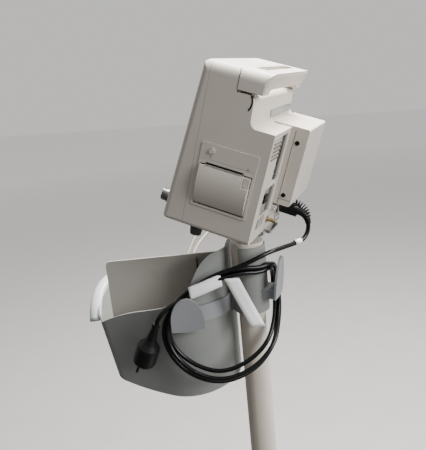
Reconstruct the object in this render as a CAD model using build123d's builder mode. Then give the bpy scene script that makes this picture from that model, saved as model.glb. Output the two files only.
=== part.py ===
"""Portable diagnostic console on a roll stand, with a side printer, a lead basket and its cords.

Millimetres, +Z up, origin on the floor under the pole. The display faces -Y and the printer faces +X.
"""
from build123d import *
import math
import os

# ---- stand -------------------------------------------------------------------------------------
pole_radius = 24.0
pole_wall = 2.5
pole_foot_z = 96.0
neck_radius = 28.5
neck_foot_z = 882.0
neck_top_z = 968.0
tube_slip = 0.05
pivot_z = 985.0
pivot_radius = 6.0
running_gap = 0.05
side_gap = 0.5

# ---- base and casters --------------------------------------------------------------------------
caster_x = 230.0
caster_y = 277.0
hub_radius = 46.0
hub_top_z = 150.0
leg_under_z = 92.0
leg_thick = 28.0
leg_root_width = 54.0
leg_end_radius = 22.0
wheel_radius = 40.0
wheel_width = 17.0
caster_trail = 26.0
fork_width = 13.0
axle_radius = 4.0
stem_radius = 6.0

# ---- console -----------------------------------------------------------------------------------
case_width = 240.0
case_height = 250.7
case_wall = 3.0
lean = 18.47
head_y = 41.2
head_z = 1000.0
front_foot_u = -146.5
front_top_u = -126.0
seam_foot_u = -110.0
seam_top_u = -113.8
seam_gap = 0.4
shelf_w = 171.9
shelf_u = -29.0
wall_u = -40.0
ledge_w = 216.0
handle_seam_u = -69.0
handle_rear_u = -22.0
handle_under_w = 226.0
cap_under_w = 219.0
well_half = 84.0
top_corner_radius = 17.0
foot_corner_radius = 7.0
half_case = case_width / 2

# ---- rear module -------------------------------------------------------------------------------
module_near_x = 17.9
module_foot_w = 46.0
module_deep = 29.0
module_wall = 2.5
module_lip_u = -29.5
module_lip_thick = 2.6

# ---- display side ------------------------------------------------------------------------------
screen_width = 196.0
screen_height = 150.0
screen_foot = 76.0
screen_recess = 1.2
glass_thick = 3.0
knob_x = 99.0
knob_s = 30.0
knob_radius = 11.0
knob_long = 13.0
power_x = -97.0
power_radius = 8.0

# ---- side printer ------------------------------------------------------------------------------
frame_front_u = -102.7
frame_rear_u = -13.4
frame_foot_w = 37.9
frame_top_w = 135.9
frame_proud = 1.2
door_front_u = -98.0
door_rear_u = -18.0
door_foot_w = 43.5
door_top_w = 103.0
door_bulge = 10.0
door_thick = 2.5
door_hinge_w = 46.0
door_hinge_x = 118.5
tub_x = 60.0
tub_wall = 2.0
roll_radius = 22.0
roll_x = 88.0
roll_w = 70.0
platen_radius = 4.5
platen_x = 118.0
platen_w = 94.0
window_side = 1.0
window_foot = 2.0
window_top = 1.6
window_u = (door_front_u + door_rear_u) / 2
window_wide = door_rear_u - door_front_u + 2 * window_side
window_low_w = door_foot_w - window_foot
window_high_w = door_top_w + window_top
window_w = (window_low_w + window_high_w) / 2
window_high = window_high_w - window_low_w
latch_u = -23.0
latch_w = 95.0
latch_width = 9.0
latch_height = 14.0
feed_u = -85.5
feed_w = 125.5
feed_radius = 3.9
button_gap = 0.3

# ---- basket and hooks --------------------------------------------------------------------------
basket_rear_y = -36.0
basket_half_top = 98.5
basket_half_foot = 93.0
basket_front_top_y = -294.0
basket_corner = 22.0
basket_front_foot_y = -243.0
basket_foot_z = 700.0
basket_top_z = 970.0
basket_wall = 3.0
collar_radius = 32.0
collar_foot_z = 846.0
collar_top_z = 966.0
hook_thick = 4.0

# ---- cord bail ---------------------------------------------------------------------------------
bail_x = 8.0
bail_half = 9.0
bail_u = 6.0
bail_w = 38.0
wire_radius = 1.1
bail_drop = 22.0

# ---- cords -------------------------------------------------------------------------------------
cord_diameter = 7.6
coil_diameter = 17.0
lead_diameter = 5.0
inlet_x = -50.0
inlet_w = 24.0

os.makedirs("parts", exist_ok=True)

# Console frame: local x across, u rearward along the console's base, w up its back.
HEAD = Plane(
    origin=(0, head_y, head_z),
    x_dir=(1, 0, 0),
    z_dir=(0, math.sin(math.radians(lean)), math.cos(math.radians(lean))),
)
front_rake = math.degrees(math.atan((front_top_u - front_foot_u) / case_height))


def head_point(x, u, w):
    """Point given in the console's own frame."""
    return HEAD.from_local_coords((x, u, w))


def head_side(x):
    """Plane facing +X: sketch X runs rearward (u), sketch Y runs up (w)."""
    return Plane(origin=head_point(x, 0, 0), x_dir=HEAD.y_dir, z_dir=HEAD.x_dir)


def head_front(u):
    """Plane facing the user: sketch X is x, sketch Y runs up (w)."""
    return Plane(origin=head_point(0, u, 0), x_dir=HEAD.x_dir, z_dir=-HEAD.y_dir)


def head_level(w):
    """Plane facing up the console: sketch X is x, sketch Y runs rearward (u)."""
    return HEAD.offset(w)


# The display face: sketch X is x, sketch Y runs up the face from the bottom edge.
FACE = head_front(front_foot_u).rotated((-front_rake, 0, 0))


def save(piece, name):
    """Label a finished sub-part and write it under its node's name."""
    piece.label = name
    export_step(piece, f"parts/{name}.step")


# ---- console shells ----------------------------------------------------------------------------
def console_body(inset):
    """Whole console outline, moved in by inset on every side."""
    face_radius = 10.0
    face_plan = Plane(
        origin=FACE.from_local_coords((0, -60, 0)), x_dir=FACE.x_dir, z_dir=FACE.y_dir
    )
    with BuildPart() as body:
        with BuildSketch(head_side(-half_case + inset)):
            with BuildLine():
                Polyline(
                    (0, 0),
                    (0, shelf_w),
                    (wall_u + 1.5, shelf_w),
                    (wall_u - 1.5, ledge_w),
                    (handle_seam_u, ledge_w),
                    (handle_seam_u, case_height),
                    (front_top_u, case_height),
                    (front_foot_u, 0),
                    close=True,
                )
            make_face()
            if inset:
                offset(amount=-inset, kind=Kind.INTERSECTION)
            fillet(vertices().sort_by_distance((front_foot_u, 0))[0], 12 - inset)
            fillet(vertices().sort_by_distance((front_top_u, case_height))[0], 13 - inset)
            fillet(vertices().sort_by_distance((wall_u, shelf_w))[0], 11 + inset)
            fillet(vertices().sort_by_distance((wall_u, ledge_w))[0], 9 - inset)
        extrude(amount=case_width - 2 * inset)
        with BuildSketch(head_front(60)):
            with Locations((0, case_height / 2)):
                Rectangle(case_width - 2 * inset, case_height - 2 * inset)
            fillet(vertices().group_by(Axis.Y)[-1], top_corner_radius - inset)
            fillet(vertices().group_by(Axis.Y)[0], foot_corner_radius - inset)
        extrude(amount=260, mode=Mode.INTERSECT)
        with BuildSketch(face_plan):
            with Locations((0, 150 + inset)):
                Rectangle(case_width - 2 * inset, 300)
            fillet(vertices().group_by(Axis.Y)[0], face_radius - inset)
        extrude(amount=400, mode=Mode.INTERSECT)
    return body.part


def seam_plane(shift):
    """Cut between bezel and housing, moved rearward by shift; it faces the user."""
    rise = math.degrees(math.atan((seam_foot_u - seam_top_u) / case_height))
    return head_front(seam_foot_u + shift).rotated((rise, 0, 0))


outer_case = console_body(0)
inner_case = console_body(case_wall)

# Front half: shell with a display window and holes for the knob and the power button.
with BuildPart() as front_bezel:
    add(outer_case)
    add(inner_case, mode=Mode.SUBTRACT)
    split(bisect_by=seam_plane(-seam_gap / 2), keep=Keep.TOP)
    with BuildSketch(FACE.offset(5)):
        with Locations((0, screen_foot + screen_height / 2)):
            RectangleRounded(screen_width, screen_height, 6)
        with Locations((knob_x, knob_s)):
            Circle(4.5)
        with Locations((power_x, knob_s)):
            Circle(power_radius + button_gap)
    extrude(amount=-14, mode=Mode.SUBTRACT)
save(front_bezel.part, "front_bezel")

# The glass sits in the window on a clip frame that backs the window's edge.
with BuildPart() as screen_glass:
    with BuildSketch(FACE.offset(-screen_recess)):
        with Locations((0, screen_foot + screen_height / 2)):
            RectangleRounded(screen_width - 0.4, screen_height - 0.4, 5.8)
    extrude(amount=-glass_thick)
save(screen_glass.part, "screen_glass")

with BuildPart() as lcd_panel:
    with BuildSketch(FACE.offset(-screen_recess - glass_thick)):
        with Locations((0, screen_foot + screen_height / 2)):
            Rectangle(screen_width + 12, screen_height + 12)
    extrude(amount=-7)
save(lcd_panel.part, "lcd_panel")

# Printer opening, vent rows and port windows in the rear half.
port_windows = {
    "main": (52.0, 127.0, 34.0, 76.0),
    "lower": (66.0, 60.0, 58.0, 48.0),
}
vent_columns = 12
vent_rows = 7
with BuildPart() as rear_housing:
    add(outer_case)
    add(inner_case, mode=Mode.SUBTRACT)
    split(bisect_by=seam_plane(seam_gap / 2), keep=Keep.BOTTOM)
    # Sloped floor of the finger well under the handle.
    with BuildSketch(head_side(-well_half)):
        with BuildLine():
            Polyline(
                (handle_seam_u, ledge_w - 1),
                (handle_seam_u, handle_under_w - 1),
                (handle_seam_u + 4, handle_under_w - 1),
                (wall_u - 11, ledge_w - 1),
                close=True,
            )
        make_face()
    extrude(amount=2 * well_half)
    with BuildSketch(head_side(half_case + 1)):
        with Locations((window_u, window_w)):
            Rectangle(window_wide + 2 * tub_wall, window_high + 2 * tub_wall)
        with Locations((feed_u, feed_w)):
            Circle(feed_radius + button_gap)
    extrude(amount=-2 * case_wall, mode=Mode.SUBTRACT)
    with BuildSketch(head_front(1)):
        for x, w, wide, high in port_windows.values():
            with Locations((x, w)):
                RectangleRounded(wide, high, 2)
        with Locations((inlet_x, inlet_w)):
            Rectangle(28.6, 21.6)
        with Locations((93, 148)):
            with GridLocations(3.6, 4.6, vent_columns, vent_rows):
                Rectangle(2.0, 3.2)
    extrude(amount=2 * case_wall, mode=Mode.SUBTRACT)
    # Ears for the cord bail, under the module.
    for side in (-1, 1):
        with BuildSketch(head_side(bail_x + side * bail_half - 1.5)):
            with BuildLine():
                Polyline(
                    (-1, bail_w - 4),
                    (bail_u + 3, bail_w - 3),
                    (bail_u + 3, bail_w + 3),
                    (-1, bail_w + 4),
                    close=True,
                )
            make_face()
            with Locations((bail_u, bail_w)):
                Circle(wire_radius + running_gap, mode=Mode.SUBTRACT)
        extrude(amount=3)
save(rear_housing.part, "rear_housing")

# ---- carry handle and its side caps ------------------------------------------------------------
slot_front_u = -60.0
slot_rear_u = -42.0
slot_half = 86.0
cap_inner_x = 88.0
cap_rear_u = -31.0
cap_wall = 2.6
fit_gap = 0.3


def top_block(inset, low_w, front_u, rear_u, inner_x=None):
    """Length of the case's top outline between two depths; with inner_x, only its two ends."""
    with BuildPart() as block:
        with BuildSketch(head_front(rear_u)):
            with Locations((0, (case_height + low_w) / 2)):
                Rectangle(case_width - 2 * inset, case_height - low_w - inset, align=Align.CENTER)
            fillet(vertices().group_by(Axis.Y)[-1], top_corner_radius - inset)
            if inner_x:
                with Locations((0, case_height / 2)):
                    Rectangle(2 * inner_x, 2 * case_height, mode=Mode.SUBTRACT)
        extrude(amount=rear_u - front_u)
    return block.part


handle_front_u = handle_seam_u + fit_gap

# Side caps: channels that wrap the handle's arms from the outside.
with BuildPart() as handle_caps:
    add(top_block(0, cap_under_w, handle_front_u, cap_rear_u, cap_inner_x))
    add(
        top_block(cap_wall, cap_under_w + cap_wall, handle_front_u - 1, cap_rear_u + 1, cap_inner_x - 1),
        mode=Mode.SUBTRACT,
    )
save(handle_caps.part, "handle_caps")

# Bar with rounded rear corners, a finger slot and arms that run inside the caps.
with BuildPart() as carry_handle:
    with BuildSketch(head_level(handle_under_w)):
        with Locations((0, (handle_front_u + handle_rear_u) / 2)):
            Rectangle(case_width, handle_rear_u - handle_front_u)
        fillet(vertices().group_by(Axis.Y)[-1], 16)
    extrude(amount=case_height - handle_under_w)
    add(top_block(0, cap_under_w, handle_front_u - 1, handle_rear_u + 1), mode=Mode.INTERSECT)
    with BuildSketch(head_side(-half_case - 1)):
        with BuildLine():
            Polyline(
                (handle_rear_u + 1, case_height - 3),
                (handle_rear_u + 1, handle_under_w - 1),
                (handle_rear_u - 8, handle_under_w - 1),
                close=True,
            )
        make_face()
    extrude(amount=case_width + 2, mode=Mode.SUBTRACT)
    add(
        top_block(-1, cap_under_w - 1, handle_front_u - 1, cap_rear_u + fit_gap, cap_inner_x - fit_gap),
        mode=Mode.SUBTRACT,
    )
    arm_inset = cap_wall + fit_gap
    add(top_block(arm_inset, cap_under_w + arm_inset, handle_front_u, cap_rear_u + 1, cap_inner_x - 3))
    with BuildSketch(head_level(cap_under_w)):
        with Locations((0, (slot_front_u + slot_rear_u) / 2)):
            RectangleRounded(2 * slot_half, slot_rear_u - slot_front_u, 7)
    extrude(amount=40, mode=Mode.SUBTRACT)
save(carry_handle.part, "carry_handle")

# Soft strip on the recess wall, just above the module's top plate.
with BuildPart() as grip_strip:
    with BuildSketch(head_front(wall_u + 0.8 + 3)):
        with Locations((-46, shelf_w + 16.5)):
            RectangleRounded(128, 8, 3)
    extrude(amount=3)
save(grip_strip.part, "grip_strip")

# ---- rear module -------------------------------------------------------------------------------
module_far_x = -half_case
module_mid_x = (module_near_x + module_far_x) / 2
module_wide = module_near_x - module_far_x
module_screw_w = (63.0, 150.0)

# Box cover open towards the case, with a top plate that runs forward over the shelf.
with BuildPart() as module_cover:
    with BuildSketch(head_side(module_far_x)):
        with BuildLine():
            Polyline(
                (0.2, module_foot_w),
                (module_deep, module_foot_w),
                (module_deep, shelf_w + module_lip_thick),
                (module_lip_u, shelf_w + module_lip_thick),
                (module_lip_u, shelf_w + 0.2),
                (0.2, shelf_w + 0.2),
                close=True,
            )
        make_face()
        fillet(vertices().sort_by_distance((module_deep, shelf_w))[0], 3)
        fillet(vertices().sort_by_distance((module_deep, module_foot_w))[0], 3)
    extrude(amount=module_wide)
    with BuildSketch(head_front(module_deep - module_wall)):
        with Locations((module_mid_x, (module_foot_w + shelf_w) / 2)):
            RectangleRounded(
                module_wide - 2 * module_wall, shelf_w - module_foot_w - 2 * module_wall, 2
            )
    extrude(amount=module_deep, mode=Mode.SUBTRACT)
    with BuildSketch(head_side(module_near_x)):
        for w in module_screw_w:
            with Locations((module_deep / 2, w)):
                Circle(2.2)
    extrude(amount=-2 * module_wall, mode=Mode.SUBTRACT)
save(module_cover.part, "module_cover")

with BuildPart() as battery_pack:
    with BuildSketch(head_front(module_deep - module_wall - 0.5)):
        with Locations((module_mid_x - 6, (module_foot_w + shelf_w) / 2)):
            RectangleRounded(module_wide - 30, shelf_w - module_foot_w - 14, 4)
    extrude(amount=module_deep - module_wall - 1)
save(battery_pack.part, "battery_pack")

# ---- inner chassis and main board --------------------------------------------------------------
chassis_u = -62.0
chassis_thick = 1.5
chassis_low_x = -108.0
chassis_high_x = 50.0
standoff_radius = 3.0
board_gap = 8.0
board_thick = 1.6
board_spots = [(-98, 22), (20, 22), (-98, 158), (20, 158)]

# Sheet-metal plate held off the rear wall by four pillars.
with BuildPart() as inner_chassis:
    with BuildSketch(head_front(chassis_u)):
        with Locations(((chassis_low_x + chassis_high_x) / 2, 90)):
            RectangleRounded(chassis_high_x - chassis_low_x, 156, 3)
    extrude(amount=chassis_thick)
    with BuildSketch(head_front(-case_wall)):
        with Locations(*[(x, w) for x, w in board_spots]):
            Circle(standoff_radius)
    extrude(until=Until.NEXT)
save(inner_chassis.part, "inner_chassis")

board_u = chassis_u - chassis_thick - board_gap
with BuildPart() as main_board:
    with BuildSketch(head_front(board_u)):
        with Locations((-29, 90)):
            Rectangle(150, 148)
    extrude(amount=board_thick)
    with BuildSketch(head_front(board_u - board_thick)):
        with Locations((-70, 120), (-20, 60)):
            Rectangle(26, 26)
        with Locations((-70, 60), (-20, 120)):
            Rectangle(18, 30)
        with Locations((28, 60), (28, 90), (28, 120)):
            Rectangle(12, 20)
    extrude(amount=3)
    with BuildSketch(head_front(board_u)):
        with Locations(*board_spots):
            Circle(standoff_radius)
    extrude(amount=-board_gap)
save(main_board.part, "main_board")

# ---- ports on the rear wall --------------------------------------------------------------------
panel_u = -7.0
with BuildPart() as io_panel:
    with BuildSketch(head_front(panel_u)):
        for x, w, wide, high in port_windows.values():
            with Locations((x, w)):
                Rectangle(wide + 6, high + 3)
    extrude(amount=1.5)
    with BuildSketch(head_front(-case_wall - 0.1)):
        for x, w, wide, high in port_windows.values():
            with Locations((x, w)):
                Rectangle(wide + 6, high + 3)
                Rectangle(wide + 2, high, mode=Mode.SUBTRACT)
    extrude(amount=-panel_u - case_wall - 0.1)
save(io_panel.part, "io_panel")

with BuildPart() as io_connectors:
    with BuildSketch(head_front(panel_u + 5)):
        with Locations((51, 131)):
            RectangleRounded(10, 32, 1.5)
        with Locations((51, 105), (51, 96)):
            RectangleRounded(9, 5, 1)
        with Locations((62, 131)):
            RectangleRounded(6, 22, 1)
    extrude(amount=5)
    with BuildSketch(head_front(panel_u + 3.5)):
        with Locations((56, 60)):
            RectangleRounded(16, 14, 1)
        with Locations((80, 66)):
            Circle(5)
        with Locations((80, 50)):
            Circle(5)
    extrude(amount=3.5)
save(io_connectors.part, "io_connectors")

# Mains inlet: shrouded socket with three blades in a cut-out of the rear wall.
inlet_depth = 16.0
inlet_core_wide = 16.2
inlet_core_high = 9.2
with BuildPart() as ac_inlet:
    with BuildSketch(head_front(1.5)):
        with Locations((inlet_x, inlet_w)):
            RectangleRounded(32, 25, 3)
    extrude(amount=1.5)
    with BuildSketch(head_front(0)):
        with Locations((inlet_x, inlet_w)):
            Rectangle(28, 21)
    extrude(amount=inlet_depth + 2)
    with BuildSketch(head_front(1.5)):
        with Locations((inlet_x, inlet_w)):
            RectangleRounded(24, 16.5, 4)
    extrude(amount=inlet_depth, mode=Mode.SUBTRACT)
    with BuildSketch(head_front(-inlet_depth + 1)):
        with Locations((inlet_x - 7, inlet_w - 2), (inlet_x + 7, inlet_w - 2), (inlet_x, inlet_w + 2)):
            Rectangle(2, 4)
    extrude(amount=-inlet_depth + 4)
save(ac_inlet.part, "ac_inlet")

# Earth bonding post beside the foot of the rear wall.
post_x = 30.0
post_w = 20.0
post_radius = 3.0
post_long = 14.0
with BuildPart() as equipotential_post:
    with BuildSketch(head_front(0)):
        with Locations((post_x, post_w)):
            RegularPolygon(6, 6)
    extrude(amount=-2)
    with BuildSketch(head_front(0)):
        with Locations((post_x, post_w)):
            Circle(post_radius)
    extrude(amount=-post_long - 2)
save(equipotential_post.part, "equipotential_post")

# ---- controls on the display side --------------------------------------------------------------
with BuildPart() as front_knob:
    with BuildSketch(FACE.offset(0.6)):
        with Locations((knob_x, knob_s)):
            Circle(knob_radius)
    extrude(amount=4)
    with BuildSketch(FACE.offset(4.6)):
        with Locations((knob_x, knob_s)):
            Circle(knob_radius - 1.2)
            with PolarLocations(knob_radius - 1.2, 24):
                Circle(0.5, mode=Mode.SUBTRACT)
    extrude(amount=knob_long - 4)
    with BuildSketch(FACE.offset(0.6)):
        with Locations((knob_x, knob_s)):
            Circle(3)
    extrude(amount=-10)
save(front_knob.part, "front_knob")

button_travel = 1.5
with BuildPart() as power_button:
    with BuildSketch(FACE.offset(2)):
        with Locations((power_x, knob_s)):
            Circle(power_radius)
    extrude(amount=-7)
    with BuildSketch(FACE.offset(-5)):
        with Locations((power_x, knob_s)):
            Circle(power_radius + 1.5)
    extrude(amount=-1.5)
save(power_button.part, "power_button")

# ---- side printer ------------------------------------------------------------------------------
trunnion_radius = 2.0
plate_thick = 2.5
plate_inner_x = 115.5
latch_top_w = latch_w + latch_height / 2
notch_front_u = latch_u - latch_width / 2 - 1.0
notch_low_w = latch_w - latch_height / 2 - 1.0
rib_u = notch_front_u - plate_thick
shaft_radius = 1.5
peg_radius = 5.0
roll_front_u = -89.0
roll_rear_u = -32.0

# Face plate around the door, with the paper tub, latch guide and roll pegs behind it.
with BuildPart() as printer_frame:
    with BuildSketch(head_side(half_case)):
        with Locations(((frame_front_u + frame_rear_u) / 2, (frame_foot_w + frame_top_w) / 2)):
            RectangleRounded(frame_rear_u - frame_front_u, frame_top_w - frame_foot_w, 1.5)
        with Locations((window_u, window_w)):
            Rectangle(window_wide, window_high, mode=Mode.SUBTRACT)
        with Locations((feed_u, feed_w)):
            Circle(feed_radius + button_gap, mode=Mode.SUBTRACT)
    extrude(amount=frame_proud)
    with BuildSketch(head_side(tub_x)):
        with Locations((window_u, window_w)):
            Rectangle(window_wide + 2 * tub_wall, window_high + 2 * tub_wall)
    extrude(amount=half_case - tub_x)
    with BuildSketch(head_side(tub_x + tub_wall)):
        with Locations((window_u, window_w)):
            Rectangle(window_wide, window_high)
    extrude(amount=half_case, mode=Mode.SUBTRACT)
    # Latch guide in the upper rear corner.
    with BuildSketch(head_side(104)):
        with Locations((latch_u + 1.5, latch_w + 0.8)):
            Rectangle(latch_width + 7, latch_height + 3)
        with Locations((latch_u, latch_w)):
            Rectangle(latch_width + 2 * fit_gap, latch_height + 2 * fit_gap, mode=Mode.SUBTRACT)
    extrude(amount=10)
    # Pegs that carry the roll's core.
    for low_u, high_u in ((door_front_u - window_side, roll_front_u + 3), (roll_rear_u - 3, door_rear_u + window_side)):
        with BuildSketch(head_front(high_u)):
            with Locations((roll_x, roll_w)):
                Circle(peg_radius)
        extrude(amount=high_u - low_u)
    with BuildSketch(head_front(door_rear_u + 4)):
        with Locations((door_hinge_x, door_hinge_w)):
            Circle(trunnion_radius + running_gap)
    extrude(amount=door_rear_u - door_front_u + 8, mode=Mode.SUBTRACT)
save(printer_frame.part, "printer_frame")

# Bulged door: curved skin, end plates with trunnions, and a rib for the roller's second bearing.
door_base_x = half_case + frame_proud
door_mid_w = (door_foot_w + door_top_w) / 2
with BuildPart() as printer_door:
    with BuildSketch(head_front(door_rear_u)) as door_outline:
        with BuildLine():
            outer = ThreePointArc(
                (door_base_x, door_foot_w),
                (half_case + door_bulge, door_mid_w + 4),
                (half_case + door_bulge - 3.2, door_top_w),
            )
            Line(outer @ 1, (door_base_x + 0.4, door_top_w))
            inner = ThreePointArc(
                (door_base_x + 0.4, door_top_w),
                (half_case + door_bulge - door_thick - 1.5, door_mid_w + 4),
                (door_base_x - 2, door_foot_w + 3),
            )
            Line(inner @ 1, (door_base_x - 2, door_foot_w))
            Line((door_base_x - 2, door_foot_w), outer @ 0)
        make_face()
    extrude(amount=door_rear_u - door_front_u)
    for plate_rear_u in (door_rear_u, door_front_u + plate_thick, rib_u + plate_thick):
        with BuildSketch(head_front(plate_rear_u)):
            with BuildLine():
                edge = ThreePointArc(
                    (door_base_x, door_foot_w),
                    (half_case + door_bulge, door_mid_w + 4),
                    (half_case + door_bulge - 3.2, door_top_w),
                )
                Polyline(
                    edge @ 1,
                    (plate_inner_x, platen_w + platen_radius),
                    (plate_inner_x, door_foot_w),
                    edge @ 0,
                )
            make_face()
        extrude(amount=plate_thick)
    with BuildSketch(head_front(door_rear_u + 2.8)):
        with Locations((door_hinge_x, door_hinge_w)):
            Circle(trunnion_radius)
    extrude(amount=2.8)
    with BuildSketch(head_front(door_front_u)):
        with Locations((door_hinge_x, door_hinge_w)):
            Circle(trunnion_radius)
    extrude(amount=2.8)
    with BuildSketch(head_side(plate_inner_x - 1)):
        with Locations(((notch_front_u + 0) / 2, (notch_low_w + 130) / 2)):
            Rectangle(-notch_front_u, 130 - notch_low_w)
    extrude(amount=40, mode=Mode.SUBTRACT)
    with BuildSketch(head_front(0)):
        with Locations((platen_x, platen_w)):
            Circle(shaft_radius + running_gap)
    extrude(amount=-door_front_u + plate_thick + 2, mode=Mode.SUBTRACT)
save(printer_door.part, "printer_door")

with BuildPart() as platen_roller:
    with BuildSketch(head_front(rib_u - side_gap)):
        with Locations((platen_x, platen_w)):
            Circle(platen_radius)
    extrude(amount=rib_u - side_gap - door_front_u - plate_thick - side_gap)
    with BuildSketch(head_front(rib_u + plate_thick)):
        with Locations((platen_x, platen_w)):
            Circle(shaft_radius)
    extrude(amount=rib_u + plate_thick - door_front_u)
save(platen_roller.part, "platen_roller")

with BuildPart() as print_head:
    with BuildSketch(head_side(104)):
        with Locations(((roll_front_u + roll_rear_u) / 2, (87 + window_high_w) / 2)):
            Rectangle(roll_rear_u - roll_front_u, window_high_w - 87)
    extrude(amount=platen_x - platen_radius - 0.6 - 104)
save(print_head.part, "print_head")

with BuildPart() as paper_roll:
    with BuildSketch(head_front(roll_rear_u)):
        with Locations((roll_x, roll_w)):
            Circle(roll_radius)
            Circle(peg_radius + running_gap, mode=Mode.SUBTRACT)
    extrude(amount=roll_rear_u - roll_front_u)
save(paper_roll.part, "paper_roll")

latch_travel = 2.0
with BuildPart() as door_latch:
    with BuildSketch(head_side(101.5)):
        with Locations((latch_u, latch_w)):
            Rectangle(latch_width + 3, latch_height + 2)
    extrude(amount=2.5)
    with BuildSketch(head_side(101.5)):
        with Locations((latch_u, latch_w)):
            Rectangle(latch_width, latch_height)
    extrude(amount=half_case + door_bulge - 4 - 101.5)
save(door_latch.part, "door_latch")

with BuildPart() as feed_button:
    with BuildSketch(head_side(half_case - case_wall - 1)):
        with Locations((feed_u, feed_w)):
            Circle(feed_radius + 1.2)
    extrude(amount=1)
    with BuildSketch(head_side(half_case - case_wall)):
        with Locations((feed_u, feed_w)):
            Circle(feed_radius)
    extrude(amount=case_wall + frame_proud + 2.4)
save(feed_button.part, "feed_button")

# ---- fastenings, feet and sockets of the console -----------------------------------------------
with BuildPart() as module_screws:
    for x, out in ((module_near_x, 1), (module_far_x, -1)):
        for w in module_screw_w:
            with BuildSketch(head_side(x)):
                with Locations((module_deep / 2, w)):
                    Circle(3.6)
            extrude(amount=0.9 * out)
            if out > 0:
                with BuildSketch(head_side(x)):
                    with Locations((module_deep / 2, w)):
                        Circle(2.15)
                extrude(amount=-module_wall)
save(module_screws.part, "module_screws")

foot_u = -91.0
foot_x = 100.0
foot_long = 16.0
with BuildPart() as rubber_feet:
    for x in (-foot_x, foot_x):
        with BuildSketch(head_level(0)):
            with Locations((x, foot_u)):
                Circle(11)
        extrude(amount=-foot_long, taper=8)
save(rubber_feet.part, "rubber_feet")

# Cord bail: wire loop hung from the two ears on the rear wall.
with BuildPart() as cord_bail:
    with BuildLine(Plane(origin=head_point(bail_x, bail_u, bail_w), x_dir=(1, 0, 0), z_dir=(0, -1, 0))):
        leg_x = bail_half + 3.5
        loop = FilletPolyline(
            (-bail_half + 1, 0), (-leg_x, 0), (-leg_x, -bail_drop), (leg_x, -bail_drop), (leg_x, 0), (bail_half - 1, 0),
            radius=2.4,
        )
    with BuildSketch(Plane(origin=loop @ 0, z_dir=loop % 0)):
        Circle(wire_radius)
    sweep()
save(cord_bail.part, "cord_bail")

# Two lead sockets low on the far side, each with its plugged-in lead connector.
socket_spots = [(-118.0, 34.0), (-84.0, 34.0)]
socket_proud = 5.0
with BuildPart() as lead_sockets:
    for u, w in socket_spots:
        with BuildSketch(head_side(-half_case)):
            with Locations((u, w)):
                Circle(13)
                Circle(8.2, mode=Mode.SUBTRACT)
        extrude(amount=-socket_proud)
save(lead_sockets.part, "lead_sockets")

lead_plug_long = 24.0
with BuildPart() as lead_plugs:
    for u, w in socket_spots:
        with BuildSketch(head_side(-half_case)):
            with Locations((u, w)):
                Circle(8)
        extrude(amount=-lead_plug_long)
        with BuildSketch(head_side(-half_case - lead_plug_long)):
            with Locations((u, w)):
                Circle(5.5)
        extrude(amount=-10, taper=8)
save(lead_plugs.part, "lead_plugs")

# ---- tilt mount --------------------------------------------------------------------------------
pivot_u = (0 - head_y) * math.cos(math.radians(lean)) - (pivot_z - head_z) * math.sin(math.radians(lean))
pivot_w = (0 - head_y) * math.sin(math.radians(lean)) + (pivot_z - head_z) * math.cos(math.radians(lean))
mount_thick = 5.0
ear_inner_x = 14.0
ear_outer_x = 22.0
ear_radius = 12.0
lug_radius = 11.0
cap_thick = 4.0
with BuildPart() as mount_plate:
    with BuildSketch(head_level(-mount_thick)):
        with Locations((0, pivot_u)):
            RectangleRounded(2 * ear_outer_x + 8, 92, 4)
    extrude(amount=mount_thick)
    for low_x in (-ear_outer_x, ear_inner_x):
        with BuildSketch(head_side(low_x)):
            with Locations((pivot_u, pivot_w)):
                Circle(ear_radius)
            with Locations((pivot_u, (pivot_w - mount_thick) / 2)):
                Rectangle(2 * ear_radius, -mount_thick - pivot_w)
        extrude(amount=ear_outer_x - ear_inner_x)
    with BuildSketch(head_side(-ear_outer_x - 1)):
        with Locations((pivot_u, pivot_w)):
            Circle(pivot_radius)
    extrude(amount=2 * ear_outer_x + 2, mode=Mode.SUBTRACT)
save(mount_plate.part, "mount_plate")

with BuildPart() as tilt_yoke:
    with BuildSketch(Plane.XY.offset(neck_top_z)):
        Circle(neck_radius)
    extrude(amount=cap_thick)
    with BuildSketch(Plane.YZ.offset(-ear_inner_x + side_gap)):
        with Locations((0, pivot_z)):
            Circle(lug_radius)
        with Locations((0, (pivot_z + neck_top_z + 1) / 2)):
            Rectangle(2 * lug_radius, pivot_z - neck_top_z - 1)
        with Locations((0, pivot_z)):
            Circle(pivot_radius + running_gap, mode=Mode.SUBTRACT)
    extrude(amount=2 * (ear_inner_x - side_gap))
    chamfer(edges().filter_by(GeomType.CIRCLE).group_by(Axis.Z)[1], 1)
save(tilt_yoke.part, "tilt_yoke")

# Clamp bolt through the ears, with its lever on the near end pointing to the rear.
lever_long = 38.0
lever_rise = 9.0
lever_foot_x = ear_outer_x + 0.4
with BuildPart() as tilt_lever:
    with BuildSketch(Plane.YZ.offset(-ear_outer_x - 0.4)):
        with Locations((0, pivot_z)):
            Circle(pivot_radius - running_gap)
    extrude(amount=2 * ear_outer_x + 0.8)
    with BuildSketch(Plane.YZ.offset(-ear_outer_x - 0.4)):
        with Locations((0, pivot_z)):
            Circle(9)
    extrude(amount=-4)
    with BuildSketch(Plane.YZ.offset(lever_foot_x)):
        with Locations((0, pivot_z)):
            Circle(9)
    extrude(amount=10)
    with BuildSketch(Plane.YZ.offset(lever_foot_x + 4)):
        lever_angle = math.degrees(math.atan(lever_rise / lever_long))
        with Locations(Location((lever_long / 2, pivot_z + lever_rise / 2), lever_angle)):
            SlotOverall(lever_long + 8, 8)
    extrude(amount=6)
save(tilt_lever.part, "tilt_lever")

# ---- pole, neck and base -----------------------------------------------------------------------
with BuildPart() as pole:
    with BuildSketch(Plane.XY.offset(pole_foot_z)):
        Circle(pole_radius)
        Circle(pole_radius - pole_wall, mode=Mode.SUBTRACT)
    extrude(amount=neck_top_z - pole_foot_z)
save(pole.part, "pole")

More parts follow.
